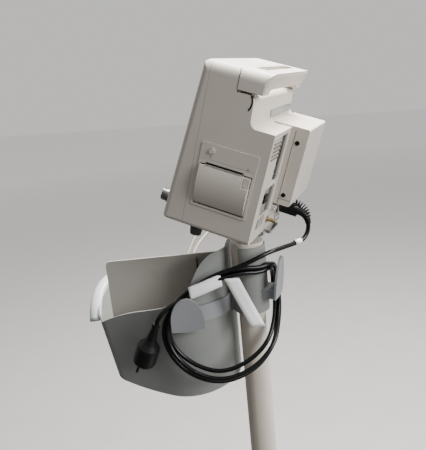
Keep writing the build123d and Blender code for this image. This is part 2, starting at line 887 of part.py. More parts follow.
with BuildPart() as pole_neck:
    with BuildSketch(Plane.XY.offset(neck_foot_z)):
        Circle(neck_radius)
        Circle(pole_radius + tube_slip, mode=Mode.SUBTRACT)
    extrude(amount=neck_top_z - neck_foot_z)
save(pole_neck.part, "pole_neck")

leg_angle = math.degrees(math.atan2(caster_y, caster_x))
leg_long = math.hypot(caster_x, caster_y)
leg_angles = [leg_angle, 180 - leg_angle, 180 + leg_angle, 360 - leg_angle]
with BuildPart() as base:
    with BuildSketch(Plane.XY.offset(leg_under_z)):
        Circle(hub_radius + 14)
        for angle in leg_angles:
            with Locations(Location((0, 0), angle)):
                with BuildLine(mode=Mode.PRIVATE) as leg_line:
                    Polyline(
                        (0, -leg_root_width / 2),
                        (leg_long, -leg_end_radius),
                        (leg_long, leg_end_radius),
                        (0, leg_root_width / 2),
                        close=True,
                    )
                add(make_face(leg_line.edges(), mode=Mode.PRIVATE))
            with Locations((leg_long * math.cos(math.radians(angle)), leg_long * math.sin(math.radians(angle)))):
                Circle(leg_end_radius)
    extrude(amount=leg_thick)
    chamfer(faces().sort_by(Axis.Z)[-1].edges(), 5)
    with BuildSketch(Plane.XY.offset(leg_under_z + leg_thick - 1)):
        Circle(hub_radius)
    extrude(amount=hub_top_z - leg_under_z - leg_thick + 1, taper=7)
    with BuildSketch(Plane.XY.offset(pole_foot_z)):
        Circle(pole_radius + tube_slip)
    extrude(amount=hub_top_z, mode=Mode.SUBTRACT)
    with BuildSketch(Plane.XY.offset(leg_under_z - 1)):
        for angle in leg_angles:
            with Locations((leg_long * math.cos(math.radians(angle)), leg_long * math.sin(math.radians(angle)))):
                Circle(stem_radius + running_gap)
    extrude(amount=leg_thick - 6, mode=Mode.SUBTRACT)
save(base.part, "base")

# Twin-wheel casters: the front pair trails rearward and the rear pair trails forward.
caster_spots = [(caster_x, -caster_y, 1), (-caster_x, -caster_y, 1), (caster_x, caster_y, -1), (-caster_x, caster_y, -1)]
for number, (x, y, trail_way) in enumerate(caster_spots, start=1):
    wheel_y = y + trail_way * caster_trail
    with BuildPart() as caster_fork:
        with BuildSketch(Plane.YZ.offset(x - fork_width / 2)):
            with BuildLine():
                Polyline(
                    (y - trail_way * 13, leg_under_z - 5),
                    (y - trail_way * 13, leg_under_z - 12),
                    (wheel_y - trail_way * 16, wheel_radius - 6),
                    (wheel_y + trail_way * 12, wheel_radius - 10),
                    (wheel_y + trail_way * 14, wheel_radius + 20),
                    (y + trail_way * 13, leg_under_z - 5),
                    close=True,
                )
            make_face()
            with Locations((wheel_y, wheel_radius)):
                Circle(axle_radius + running_gap, mode=Mode.SUBTRACT)
        extrude(amount=fork_width)
        with BuildSketch(Plane.XY.offset(leg_under_z - 6)):
            with Locations((x, y)):
                Circle(15)
        extrude(amount=5.5)
        with BuildSketch(Plane.XY.offset(leg_under_z - 4)):
            with Locations((x, y)):
                Circle(stem_radius)
        extrude(amount=leg_thick - 6)
    save(caster_fork.part, f"caster_fork_{number}")
    with BuildPart() as caster_wheels:
        with BuildSketch(Plane.YZ.offset(x - fork_width / 2 - side_gap - wheel_width)):
            with Locations((wheel_y, wheel_radius)):
                Circle(axle_radius)
        extrude(amount=fork_width + 2 * side_gap + 2 * wheel_width)
        for low_x in (x - fork_width / 2 - side_gap - wheel_width, x + fork_width / 2 + side_gap):
            with BuildSketch(Plane.YZ.offset(low_x)):
                with Locations((wheel_y, wheel_radius)):
                    Circle(wheel_radius)
            extrude(amount=wheel_width)
        fillet(edges().filter_by(GeomType.CIRCLE).filter_by(lambda e: abs(e.radius - wheel_radius) < 0.01), 3)
    save(caster_wheels.part, f"caster_wheels_{number}")

# ---- basket ------------------------------------------------------------------------------------
rim_front_z = 836.0
rim_arch_z = 887.0
rim_side = [(-262, 838), (-234, 851), (-180, 867), (-122, 880), (-88, 902), (-62, 950), (-50, 962)]
arch_rear_y = -262.0
floor_front = (-268, 740)
floor_mid = (-150, 708)
floor_rear = (-20, 713)


def basket_size(z):
    """Half width and front position of the basket's outside at height z."""
    share = (z - basket_foot_z) / (basket_top_z - basket_foot_z)
    half = basket_half_foot + share * (basket_half_top - basket_half_foot)
    front_y = basket_front_foot_y + share * (basket_front_top_y - basket_front_foot_y)
    return half, front_y


def basket_block(inset):
    """Tapered D-shaped block of the basket, with its curved underside, moved in by inset."""
    with BuildPart() as block:
        for z in (basket_foot_z - 20, basket_top_z):
            half, front_y = basket_size(z)
            centre_y = basket_rear_y - half
            reach = half - inset
            with BuildSketch(Plane.XY.offset(z)):
                with BuildLine():
                    Polyline(
                        (reach, centre_y),
                        (reach, front_y + inset),
                        (-reach, front_y + inset),
                        (-reach, centre_y),
                    )
                    ThreePointArc((-reach, centre_y), (0, centre_y + reach), (reach, centre_y))
                make_face()
                fillet(vertices().group_by(Axis.Y)[0], basket_corner - inset)
        loft(ruled=True)
        with BuildSketch(Plane.YZ.offset(-150)):
            with BuildLine():
                low = ThreePointArc(
                    (floor_front[0], floor_front[1] + inset),
                    (floor_mid[0], floor_mid[1] + inset),
                    (floor_rear[0], floor_rear[1] + inset),
                )
                Polyline(low @ 1, (0, floor_rear[1]), (0, 1100), (-400, 1100), (-400, floor_front[1]), low @ 0)
            make_face()
        extrude(amount=300, mode=Mode.INTERSECT)
    return block.part


# Moulded shell with a rising side rim, an arched front and a rolled front lip.
lip_wide = 18.0
lip_thick = 9.0
arch_reach = 60.0
with BuildPart() as rolled_lip:
    with BuildLine():
        lip_path = ThreePointArc((-86, -276, 838), (0, -290, 889), (86, -276, 838))
    with BuildSketch(Plane(origin=lip_path @ 0, x_dir=(0, 1, 0), z_dir=lip_path % 0)):
        Ellipse(lip_wide / 2, lip_thick / 2)
    sweep()
    add(basket_block(basket_wall), mode=Mode.SUBTRACT)
with BuildPart() as basket:
    add(basket_block(0))
    add(basket_block(basket_wall), mode=Mode.SUBTRACT)
    with BuildSketch(Plane.YZ.offset(-150)):
        with BuildLine():
            rim = Spline(*rim_side)
            Polyline(rim @ 1, (0, 962), (0, 1100), (arch_rear_y, 1100), rim @ 0)
        make_face()
    extrude(amount=300, mode=Mode.SUBTRACT)
    with BuildSketch(Plane.XZ.offset(-arch_rear_y)):
        with BuildLine():
            arch = ThreePointArc((-105, rim_front_z - 4), (0, rim_arch_z), (105, rim_front_z - 4))
            Polyline(arch @ 1, (105, 1100), (-105, 1100), arch @ 0)
        make_face()
    extrude(amount=arch_reach, mode=Mode.SUBTRACT)
    add(rolled_lip.part)
save(basket.part, "basket")

# ---- hook collar and cord hooks ----------------------------------------------------------------
collar_ring_top_z = neck_foot_z - 0.5
shell_inner = neck_radius + 0.2
shell_outer = 31.5
boss_half = 16.0
with BuildPart() as hook_collar:
    with BuildSketch(Plane.XY.offset(collar_foot_z)):
        Circle(collar_radius)
        with Locations((0, (basket_rear_y + 0.05) / 2)):
            Rectangle(2 * boss_half, -basket_rear_y - 0.05)
        Circle(pole_radius + tube_slip, mode=Mode.SUBTRACT)
    extrude(amount=collar_ring_top_z - collar_foot_z)
    with BuildSketch(Plane.XY.offset(collar_ring_top_z)):
        Circle(collar_radius)
        Circle(shell_inner, mode=Mode.SUBTRACT)
        with Locations((0, -50)):
            Rectangle(100, 2 * 42, mode=Mode.SUBTRACT)
    extrude(amount=collar_top_z - collar_ring_top_z, taper=0.6)
    with BuildSketch(Plane.XY.offset(collar_ring_top_z - 1)):
        Circle(shell_inner)
    extrude(amount=collar_top_z, mode=Mode.SUBTRACT)
save(hook_collar.part, "hook_collar")


def paddle_plane(base, azimuth, lean_out):
    """Plane of a hook's paddle: it faces outward at the azimuth, and its top leans outward."""
    turn = math.radians(azimuth)
    tip = math.radians(lean_out)
    normal = (math.cos(turn) * math.cos(tip), math.sin(turn) * math.cos(tip), -math.sin(tip))
    return Plane(origin=base, x_dir=(-math.sin(turn), math.cos(turn), 0), z_dir=normal)


def paddle_outline(width, height, straight):
    """Arch with straight lower sides, standing on the sketch's X axis."""
    with BuildSketch() as outline:
        with BuildLine():
            Polyline((-width / 2, straight), (-width / 2, 3), (0, 0), (width / 2, 3), (width / 2, straight))
            EllipticalCenterArc((0, straight), width / 2, height - straight, start_angle=0, arc_size=180)
        make_face()
    return outline.sketch


# Rear hook: a short arm off the collar and an upright paddle.
rear_paddle_y = 48.0
arm_half = 19.0
arm_low_z = 872.0
arm_high_z = 888.0
with BuildPart() as rear_cord_hook:
    with BuildSketch(Plane.XY.offset(arm_low_z)):
        with Locations((0, (rear_paddle_y + 2) / 2)):
            Rectangle(2 * arm_half, rear_paddle_y + 2)
        Circle(collar_radius, mode=Mode.SUBTRACT)
        with Locations((0, 5)):
            Rectangle(100, 30, mode=Mode.SUBTRACT)
    extrude(amount=arm_high_z - arm_low_z)
    with BuildSketch(paddle_plane((0, rear_paddle_y - 0.5, arm_low_z - 2), 90, 7.6)):
        add(paddle_outline(50, 76, 22))
    extrude(amount=hook_thick)
save(rear_cord_hook.part, "rear_cord_hook")

# Side hook: an arm that follows the basket's rear wall round to a second paddle.
hook_centre_y = -133.0
band_inner = 98.4
band_outer = 102.4
side_azimuth = 27.0
side_reach = 110.5
side_base = (
    side_reach * math.cos(math.radians(side_azimuth)),
    hook_centre_y + side_reach * math.sin(math.radians(side_azimuth)),
    840.0,
)
with BuildPart() as side_cord_hook:
    with BuildSketch(Plane.XY.offset(collar_foot_z + 2)):
        with Locations((0, hook_centre_y)):
            Circle(band_outer)
            Circle(band_inner, mode=Mode.SUBTRACT)
        with BuildLine():
            Polyline((0, hook_centre_y), (boss_half, 0), (140, 0), (140, hook_centre_y + 50), close=True)
        make_face(mode=Mode.INTERSECT)
        with Locations((-50 + boss_half, 0)):
            Rectangle(100, 400, mode=Mode.SUBTRACT)
    extrude(amount=30)
    stub_plane = Plane(
        origin=(0, hook_centre_y, collar_foot_z + 2), x_dir=(side_base[0], side_base[1] - hook_centre_y, 0)
    )
    with BuildSketch(stub_plane):
        with Locations(((band_outer - 1 + side_reach + 3.5) / 2, 0)):
            Rectangle(side_reach - band_outer + 4.5, 32)
    extrude(amount=11)
    with BuildSketch(paddle_plane(side_base, side_azimuth, 11.7)):
        add(paddle_outline(56, 66, 20))
    extrude(amount=hook_thick)
save(side_cord_hook.part, "side_cord_hook")

# ---- reference card ----------------------------------------------------------------------------
card_rear = (-2.0, -55.0)
card_front = (74.2, -244.3)
card_low_z = 732.0
card_high_z = 950.0
card_thick = 3.0
ring_spots = (14.0, 40.0)
ring_radius = 11.0
ring_wire = 1.1
card_long = math.dist(card_rear, card_front)
card_plane = Plane(
    origin=(card_rear[0], card_rear[1], card_low_z),
    x_dir=(card_front[0] - card_rear[0], card_front[1] - card_rear[1], 0),
    z_dir=(card_front[1] - card_rear[1], card_rear[0] - card_front[0], 0),
)
ring_height = card_high_z - card_low_z - ring_radius - 8
with BuildPart() as reference_card:
    with BuildSketch(card_plane.offset(-card_thick / 2)):
        with Locations((card_long / 2, (card_high_z - card_low_z) / 2)):
            RectangleRounded(card_long, card_high_z - card_low_z, 9)
        with Locations(*[(x, ring_height + way * ring_radius) for x in ring_spots for way in (-1, 1)]):
            Circle(ring_wire + 0.6, mode=Mode.SUBTRACT)
    extrude(amount=card_thick)
    for x in ring_spots:
        ring_centre = card_plane.from_local_coords((x, ring_height, 0))
        with BuildSketch(Plane(origin=ring_centre, x_dir=card_plane.x_dir, z_dir=card_plane.z_dir)):
            with Locations((0, ring_radius)):
                Circle(ring_wire)
        revolve(axis=Axis(ring_centre, card_plane.x_dir))
save(reference_card.part, "reference_card")

# ---- mains lead --------------------------------------------------------------------------------
def tube_path(points, closed=False):
    """Straight runs joined by tangent arcs, each arc as large as its two runs allow."""
    count = len(points)
    runs = [math.dist(points[i], points[(i + 1) % count]) for i in range(count if closed else count - 1)]
    radii = []
    for i in range(count) if closed else range(1, count - 1):
        turn = Vector(*points[i]) - Vector(*points[i - 1])
        after = Vector(*points[(i + 1) % count]) - Vector(*points[i])
        half_turn = math.radians(turn.get_angle(after)) / 2
        radii.append(0.45 * min(runs[i - 1], runs[i]) / math.tan(half_turn))
    with BuildLine() as route:
        FilletPolyline(*points, radius=radii, close=closed)
    return route.wires()[0], radii


def cord_tube(points, diameter, name, closed=False):
    """Plain tube along a cord's route, with its radii and its volume against section times length."""
    path, radii = tube_path(points, closed)
    legs = path.edges()
    halves = [legs[: len(legs) // 2], legs[len(legs) // 2 :]] if closed else [legs]
    with BuildPart() as tube:
        for half in halves:
            stretch = Wire(half)
            with BuildSketch(Plane(origin=stretch @ 0, z_dir=stretch % 0)):
                Circle(diameter / 2)
            sweep(path=stretch)
    expected = math.pi * diameter**2 / 4 * path.length
    smallest = min(radii) / diameter
    print(f"{name}: length {path.length:.0f}, least radius {smallest:.1f} diameters,", end=" ")
    print(f"radii {[round(r) for r in radii]}, volume ratio {tube.part.volume / expected:.4f}")
    save(tube.part, name)


# Connector: nose in the inlet, body, and a strain relief that bends down.
relief_start_u = 35.0
relief_radius = 24.0
relief_turn = 72.0
relief_steps = 4
nose_long = 14.0
with BuildPart() as mains_connector:
    with BuildSketch(head_front(relief_start_u)):
        with Locations((inlet_x, inlet_w)):
            RectangleRounded(26, 19, 6)
    extrude(amount=relief_start_u - 1.8)
    with BuildSketch(head_front(1.8)):
        with Locations((inlet_x, inlet_w)):
            RectangleRounded(23.2, 15.7, 3.6)
    extrude(amount=nose_long)
    with BuildSketch(head_front(-nose_long)):
        with Locations((inlet_x - 7, inlet_w - 2), (inlet_x + 7, inlet_w - 2), (inlet_x, inlet_w + 2)):
            Rectangle(3, 5)
    extrude(amount=-24, mode=Mode.SUBTRACT)
    relief_start = head_point(inlet_x, relief_start_u, inlet_w)
    for step in range(relief_steps + 1):
        bend = math.radians(relief_turn * step / relief_steps)
        centre = relief_start + HEAD.y_dir * (relief_radius * math.sin(bend))
        centre = centre - HEAD.z_dir * (relief_radius * (1 - math.cos(bend)))
        heading = HEAD.y_dir * math.cos(bend) - HEAD.z_dir * math.sin(bend)
        with BuildSketch(Plane(origin=centre, x_dir=(1, 0, 0), z_dir=heading)):
            Circle(7.5 - 2.7 * step / relief_steps)
    loft()
save(mains_connector.part, "mains_connector")
relief_tip = (centre.X, centre.Y, centre.Z)
print("strain relief tip", relief_tip, "heading", heading)

straight_exit = centre + heading * 8
drop_points = [
    relief_tip,
    (straight_exit.X, straight_exit.Y, straight_exit.Z),
    (-47.2, 96.5, 972.4),
    (-42, 93, 965.9),
    (-34.4, 88, 961.7),
    (-18, 77, 960.7),
    (6, 62.5, 961),
    (30, 47, 961),
    (47, 28, 954),
    (57, 2, 943),
    (62, -14, 934),
]
coil_points = [
    (31, 29, 930),
    (50, 4, 935),
    (70, -30, 931),
    (86, -61, 917),
    (100.5, -92, 893),
    (110, -121, 853),
    (113, -113, 806),
    (109, -78, 770),
    (98, -30, 754),
    (75, 18, 770),
    (46, 46.5, 800),
    (14, 48.5, 830),
    (-19, 42.5, 855),
    (-34, 34.5, 880),
    (-28, 36, 905),
    (-8, 40.3, 926),
    (16, 40, 933),
]
plug_top = Vector(124, -128, 862)
plug_heading = Vector(-6, -42, -87).normalized()
plug_entry = plug_top - plug_heading * 16
tail_points = [
    (99, -89, 896),
    (114, -106, 889),
    (plug_entry.X, plug_entry.Y, plug_entry.Z),
    (plug_top.X, plug_top.Y, plug_top.Z),
]
cord_tube(drop_points, cord_diameter, "mains_cord_drop")
cord_tube(coil_points, coil_diameter, "mains_cord_coil", closed=True)
cord_tube(tail_points, cord_diameter, "mains_cord_tail")

# Moulded two-pin plug: collar ring, tapering neck and a round body.
plug_plane = Plane(origin=plug_top, x_dir=(0.9, -0.4, 0.13), z_dir=plug_heading)
plug_long = 88.0
pin_spacing = 19.0
pin_radius = 2.4
pin_long = 19.0
with BuildPart() as mains_plug:
    with BuildSketch(Plane(origin=plug_top, x_dir=plug_plane.x_dir, z_dir=-plug_plane.y_dir)):
        with BuildLine():
            Polyline(
                (0, 0), (6.4, 0), (6.9, 3), (6.9, 6), (5.6, 7), (5.6, 10), (9, 34), (13, 42), (19, 50),
                (20, 54), (20, plug_long - 4), (17.5, plug_long), (0, plug_long), close=True,
            )
        make_face()
    revolve(axis=Axis(plug_top, plug_plane.z_dir))
    with BuildSketch(plug_plane.offset(plug_long)):
        with GridLocations(pin_spacing, 1, 2, 1):
            Circle(pin_radius)
    extrude(amount=pin_long)
save(mains_plug.part, "mains_plug")

# Blank labels: a wrapped sleeve on the drop, a flag along the coil and a hanging tag.
sleeve_mid = (-28.0, 83.9, 961.3)
sleeve_heading = (16.4, -11, -1)
flag_centre = (89.7, -47, 918)
flag_along = (-32, 45, 13)
flag_size = (55, 23)
tag_centre = (53, 6, 879)
tag_along = (-24, 33, -96.5)
tag_size = (104, 26)
label_thick = 0.8
with BuildPart() as cord_labels:
    with BuildSketch(Plane(origin=sleeve_mid, z_dir=sleeve_heading).offset(-6)):
        Circle(cord_diameter / 2 + 1.1)
        Circle(cord_diameter / 2 + 0.4, mode=Mode.SUBTRACT)
    extrude(amount=12)
    for centre, along, size in ((flag_centre, flag_along, flag_size), (tag_centre, tag_along, tag_size)):
        outward = Vector(*along).cross(Vector(-math.sin(math.radians(35)), math.cos(math.radians(35)), 0))
        side_way = Vector(0.82, 0.57, 0) - Vector(*along).normalized() * (
            Vector(*along).normalized().dot(Vector(0.82, 0.57, 0))
        )
        with BuildSketch(Plane(origin=centre, x_dir=along, z_dir=side_way)):
            Rectangle(*size)
        extrude(amount=label_thick)
save(cord_labels.part, "cord_labels")

# ---- probe leads -------------------------------------------------------------------------------
lead_coil_radius = 27.5
lead_coil_thick = 15.0
lead_routes = [
    {
        "points": [
            (-183, -74, 1051),
            (-183, -99, 1020),
            (-168, -124, 988),
            (-147, -145, 958),
            (-127, -158, 930),
            (-110, -167, 905),
            (-94, -173, 879),
            (-81, -178, 850),
            (-75, -182, 815),
            (-73, -184, 778),
        ],
        "coil": (-52, -178, 724.3),
    },
    {
        "points": [
            (-183, -42, 1041),
            (-181, -66, 1012),
            (-167, -92, 982),
            (-150, -115, 957),
            (-131, -133, 939),
            (-113, -144, 925),
            (-96, -150, 908),
            (-82, -146, 880),
            (-74, -134, 850),
            (-72, -117, 815),
            (-72, -104, 778),
        ],
        "coil": (-40, -100, 709.9),
    },
]
probe_long = 60.0
probe_wide = 36.0
probe_thick = 22.0
for number, (route, (u, w)) in enumerate(zip(lead_routes, socket_spots), start=1):
    coil_x, coil_y, coil_z = route["coil"]
    lead_exit = head_point(-half_case - lead_plug_long - 10, u, w)
    last_x, last_y, last_z = route["points"][-1]
    reach = math.dist((coil_x, coil_y), (last_x, last_y))
    share = lead_coil_radius / reach
    landing = (coil_x + (last_x - coil_x) * share, coil_y + (last_y - coil_y) * share, coil_z + lead_coil_thick - 2)
    outlet = [(lead_exit.X - run, lead_exit.Y, lead_exit.Z) for run in (0, 16)]
    points = outlet + route["points"] + [landing]
    cord_tube(points, lead_diameter, f"lead_cable_{number}")
    with BuildPart() as lead_coil:
        with BuildSketch(Plane.XZ.offset(-coil_y)):
            with Locations((coil_x + lead_coil_radius, coil_z + lead_coil_thick / 2)):
                RectangleRounded(lead_coil_thick, lead_coil_thick, 4)
        revolve(axis=Axis((coil_x, coil_y, coil_z), (0, 0, 1)))
    save(lead_coil.part, f"lead_coil_{number}")
    probe_low_z = coil_z + lead_coil_thick + 0.1
    probe_tail_y = coil_y + 18.0
    with BuildPart() as probe:
        with BuildSketch(Plane.XY.offset(probe_low_z)):
            with BuildLine():
                half_wide = probe_wide / 2
                tail_y = probe_tail_y
                Polyline(
                    (coil_x + half_wide, tail_y - probe_long + 8),
                    (coil_x + half_wide, tail_y - probe_long + 22),
                    (coil_x + 11, tail_y - 22),
                    (coil_x + 8, tail_y),
                    (coil_x - 8, tail_y),
                    (coil_x - 11, tail_y - 22),
                    (coil_x - half_wide, tail_y - probe_long + 22),
                    (coil_x - half_wide, tail_y - probe_long + 8),
                )
                ThreePointArc(
                    (coil_x - half_wide, tail_y - probe_long + 8),
                    (coil_x, tail_y - probe_long),
                    (coil_x + half_wide, tail_y - probe_long + 8),
                )
            make_face()
        extrude(amount=probe_thick)
        fillet(faces().sort_by(Axis.Z)[-1].edges(), 3.5)
        with BuildSketch(Plane(origin=(coil_x, tail_y, probe_low_z + 4.5), z_dir=(0, 1, -0.1))):
            Circle(4.4)
        extrude(amount=14, taper=4)
    save(probe.part, f"probe_{number}")
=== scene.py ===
"""Looks of a portable diagnostic console on its roll stand."""

import math

import bmesh
import bpy
from mathutils import Matrix, Vector


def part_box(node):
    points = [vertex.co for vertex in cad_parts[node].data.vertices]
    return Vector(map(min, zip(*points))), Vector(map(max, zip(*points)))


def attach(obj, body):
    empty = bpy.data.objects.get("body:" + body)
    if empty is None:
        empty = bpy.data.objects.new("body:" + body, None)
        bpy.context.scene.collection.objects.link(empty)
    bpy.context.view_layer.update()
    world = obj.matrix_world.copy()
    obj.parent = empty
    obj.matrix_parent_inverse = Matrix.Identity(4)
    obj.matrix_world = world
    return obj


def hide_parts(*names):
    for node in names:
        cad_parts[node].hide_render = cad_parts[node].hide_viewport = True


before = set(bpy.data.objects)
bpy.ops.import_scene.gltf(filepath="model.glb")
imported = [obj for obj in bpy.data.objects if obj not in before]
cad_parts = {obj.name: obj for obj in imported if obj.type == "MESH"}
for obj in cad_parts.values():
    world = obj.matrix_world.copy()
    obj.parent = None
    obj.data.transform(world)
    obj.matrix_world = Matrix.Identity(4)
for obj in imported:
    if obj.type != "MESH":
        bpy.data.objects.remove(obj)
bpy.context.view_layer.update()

bl_info = {
    "name": "Diagnostic Console Stand",
    "version": (1, 0, 0),
    "blender": (4, 5, 0),
    "location": "View3D > Sidebar > Console",
    "description": "Finishes, cords, labels and small fittings of a console on a roll stand",
    "category": "Add Mesh",
}

# The console leans back on its yoke: these are its own axes, and the origin of its rear foot line.
HEAD_ORIGIN = Vector((0, 0.0412, 1.0))
HEAD_U = Vector((0, 0.94849, -0.316808))
HEAD_W = Vector((0, 0.316808, 0.94849))
FACE_ORIGIN = Vector((0, -0.0977537, 1.04641))
FACE_UP = Vector((0, 0.393055, 0.919515))
FACE_OUT = Vector((0, -0.919515, 0.393055))
ACROSS = Vector((1, 0, 0))
HEAD_AXES = (ACROSS, HEAD_U, HEAD_W)
FACE_AXES = (ACROSS, FACE_UP, FACE_OUT)
SIDE_WALL = 120.0


def head_point(x, u, w):
    """Point of the leaning console, from its own coordinates in millimetres."""
    return HEAD_ORIGIN + ACROSS * (x / 1000) + HEAD_U * (u / 1000) + HEAD_W * (w / 1000)


def face_point(x, up, out):
    """Point in front of the sloping display face, in millimetres."""
    return FACE_ORIGIN + ACROSS * (x / 1000) + FACE_UP * (up / 1000) + FACE_OUT * (out / 1000)


# ---- node materials ----------------------------------------------------------------------------
def link_noise(tree, scale, detail=4.0, rough=0.55):
    """Noise texture that lies in the object's own coordinates."""
    coordinates = tree.nodes.new("ShaderNodeTexCoord")
    noise = tree.nodes.new("ShaderNodeTexNoise")
    noise.inputs["Scale"].default_value = scale
    noise.inputs["Detail"].default_value = detail
    noise.inputs["Roughness"].default_value = rough
    tree.links.new(coordinates.outputs["Object"], noise.inputs["Vector"])
    return noise


def ramp(tree, source, low, high, start=0.35, end=0.65):
    """Colour ramp between two colours, driven by a source socket."""
    node = tree.nodes.new("ShaderNodeValToRGB")
    node.color_ramp.elements[0].position = start
    node.color_ramp.elements[0].color = (*low, 1)
    node.color_ramp.elements[1].position = end
    node.color_ramp.elements[1].color = (*high, 1)
    tree.links.new(source, node.inputs["Fac"])
    return node


def bumped(tree, shader, source, strength, distance):
    """Bump from a source socket on the shader's normal."""
    bump = tree.nodes.new("ShaderNodeBump")
    bump.inputs["Strength"].default_value = strength
    bump.inputs["Distance"].default_value = distance
    tree.links.new(source, bump.inputs["Height"])
    tree.links.new(bump.outputs["Normal"], shader.inputs["Normal"])
    return bump


def varied(tree, shader, source, low, high):
    """Roughness that runs from low to high with a source socket."""
    spread = tree.nodes.new("ShaderNodeMapRange")
    spread.inputs["From Min"].default_value = 0.3
    spread.inputs["From Max"].default_value = 0.7
    spread.inputs["To Min"].default_value = low
    spread.inputs["To Max"].default_value = high
    tree.links.new(source, spread.inputs["Value"])
    tree.links.new(spread.outputs["Result"], shader.inputs["Roughness"])


def finish(name, colour, roughness, grain=1400.0, relief=0.25, depth=0.00012, tint=0.05, metal=0.0, coat=0.0,
           shine=0.5):
    """Moulded, coated or turned surface: mottled colour, fine grain and uneven gloss."""
    found = bpy.data.materials.get(name)
    if found:
        return found
    material = bpy.data.materials.new(name)
    material.use_nodes = True
    tree = material.node_tree
    shader = tree.nodes["Principled BSDF"]
    shader.inputs["Metallic"].default_value = metal
    shader.inputs["Coat Weight"].default_value = coat
    shader.inputs["Specular IOR Level"].default_value = shine
    broad = link_noise(tree, 9.0, 5.0)
    fine = link_noise(tree, grain, 2.0)
    low = tuple(max(0.0, c * (1 - tint)) for c in colour)
    high = tuple(min(1.0, c * (1 + tint)) for c in colour)
    shade = ramp(tree, broad.outputs["Fac"], low, high)
    tree.links.new(shade.outputs["Color"], shader.inputs["Base Color"])
    varied(tree, shader, broad.outputs["Fac"], max(0.02, roughness - 0.07), min(1.0, roughness + 0.07))
    bumped(tree, shader, fine.outputs["Fac"], relief, depth)
    material.diffuse_color = (*colour, 1)
    return material


def glass_finish(name, colour, weight):
    """Tinted cover glass with faint smears in its gloss."""
    material = finish(name, colour, 0.08, 300.0, 0.02, 0.00002, 0.1)
    material.node_tree.nodes["Principled BSDF"].inputs["Alpha"].default_value = weight
    return material


# ---- mesh helpers ------------------------------------------------------------------------------
def new_piece(name, mesh, material, body):
    """Object in the scene, with its material, riding on a body."""
    piece = bpy.data.objects.new(name, mesh)
    bpy.context.scene.collection.objects.link(piece)
    piece.data.materials.append(material)
    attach(piece, body)
    return piece


def mesh_of(name, builder, smooth=True):
    """Mesh filled by a function that works on a bmesh."""
    mesh = bpy.data.meshes.new(name)
    work = bmesh.new()
    builder(work)
    bmesh.ops.recalc_face_normals(work, faces=work.faces)
    work.to_mesh(mesh)
    work.free()
    if smooth:
        for face in mesh.polygons:
            face.use_smooth = True
    return mesh


def add_block(work, centre, axes, size, edge=0.0, steps=2):
    """Block with rounded edges: size along three axes, about a centre."""
    made = bmesh.ops.create_cube(work, size=1.0)["verts"]
    turn = Matrix((axes[0], axes[1], axes[2])).transposed()
    for vert in made:
        local = Vector((vert.co.x * size[0], vert.co.y * size[1], vert.co.z * size[2]))
        vert.co = Vector(centre) + turn @ local
    if edge > 0:
        edges = list({e for v in made for e in v.link_edges})
        bmesh.ops.bevel(work, geom=edges, offset=edge, segments=steps, profile=0.5, affect="EDGES")


def add_ring(work, centre, normal, start, outline, count=40, closed=True):
    """Body of revolution: outline is (radius, height) pairs along the normal."""
    normal = Vector(normal).normalized()
    side = Vector(start) - normal * Vector(start).dot(normal)
    side.normalize()
    other = normal.cross(side)
    rows = []
    for radius, height in outline:
        row = []
        for i in range(count):
            turn = 2 * math.pi * i / count
            spoke = side * math.cos(turn) + other * math.sin(turn)
            row.append(work.verts.new(Vector(centre) + spoke * radius + normal * height))
        rows.append(row)
    for low, high in zip(rows, rows[1:]):
        for i in range(count):
            work.faces.new((low[i], low[(i + 1) % count], high[(i + 1) % count], high[i]))
    if closed:
        work.faces.new(rows[0][::-1])
        work.faces.new(rows[-1])


def nurbs_line(name, points, radius, resolution=10):
    """Round cord: one smooth spline through listed control points."""
    curve = bpy.data.curves.new(name, "CURVE")
    curve.dimensions = "3D"
    spline = curve.splines.new("NURBS")
    spline.points.add(len(points) - 1)
    for point, place in zip(spline.points, points):
        point.co = (*place, 1)
    spline.order_u = 3
    spline.use_endpoint_u = True
    spline.resolution_u = resolution
    curve.bevel_depth = radius
    curve.bevel_resolution = 5
    curve.use_fill_caps = True
    return curve


def millimetres(points):
    """The same points in metres."""
    return [tuple(value / 1000 for value in point) for point in points]


def scene_settings():
    """The add-on's own settings group."""
    return bpy.context.scene.console_stand


# ---- settings ----------------------------------------------------------------------------------
def colour_setting(name, about, default):
    """Colour property with the usual limits."""
    return bpy.props.FloatVectorProperty(
        name=name, description=about, default=default, size=3, min=0, max=1, subtype="COLOR"
    )


class ConsoleStandSettings(bpy.types.PropertyGroup):
    """Sizes and colours that a user of the add-on would change."""

    shell_colour: colour_setting("Shell colour", "Moulded shell of the console", (0.60, 0.545, 0.48))
    pole_colour: colour_setting("Pole colour", "Powder coat of the pole and its neck", (0.66, 0.58, 0.50))
    basket_colour: colour_setting("Basket colour", "Moulded basket", (0.25, 0.257, 0.238))
    lip_colour: colour_setting("Lip colour", "Rolled front lip of the basket", (0.56, 0.58, 0.58))
    hook_colour: colour_setting("Hook colour", "Cord hooks", (0.27, 0.275, 0.28))
    cord_colour: colour_setting("Cord colour", "Jacket of the mains cord", (0.0025, 0.0025, 0.003))
    lead_colour: colour_setting("Lead colour", "Jacket of the probe leads", (0.60, 0.54, 0.42))
    cord_diameter: bpy.props.FloatProperty(
        name="Cord diameter", description="Width of the mains cord", default=0.0076, min=0.003, max=0.02,
        subtype="DISTANCE", unit="LENGTH",
    )
    lead_diameter: bpy.props.FloatProperty(
        name="Lead diameter", description="Width of a probe lead", default=0.005, min=0.002, max=0.01,
        subtype="DISTANCE", unit="LENGTH",
    )
    cord_turns: bpy.props.IntProperty(
        name="Cord turns", description="Turns of the mains cord over the two hooks", default=3, min=1, max=4
    )
    key_light: bpy.props.FloatProperty(
        name="Key light", description="Power of the overhead light", default=175.0, min=0, max=1000,
        subtype="POWER", unit="POWER",
    )


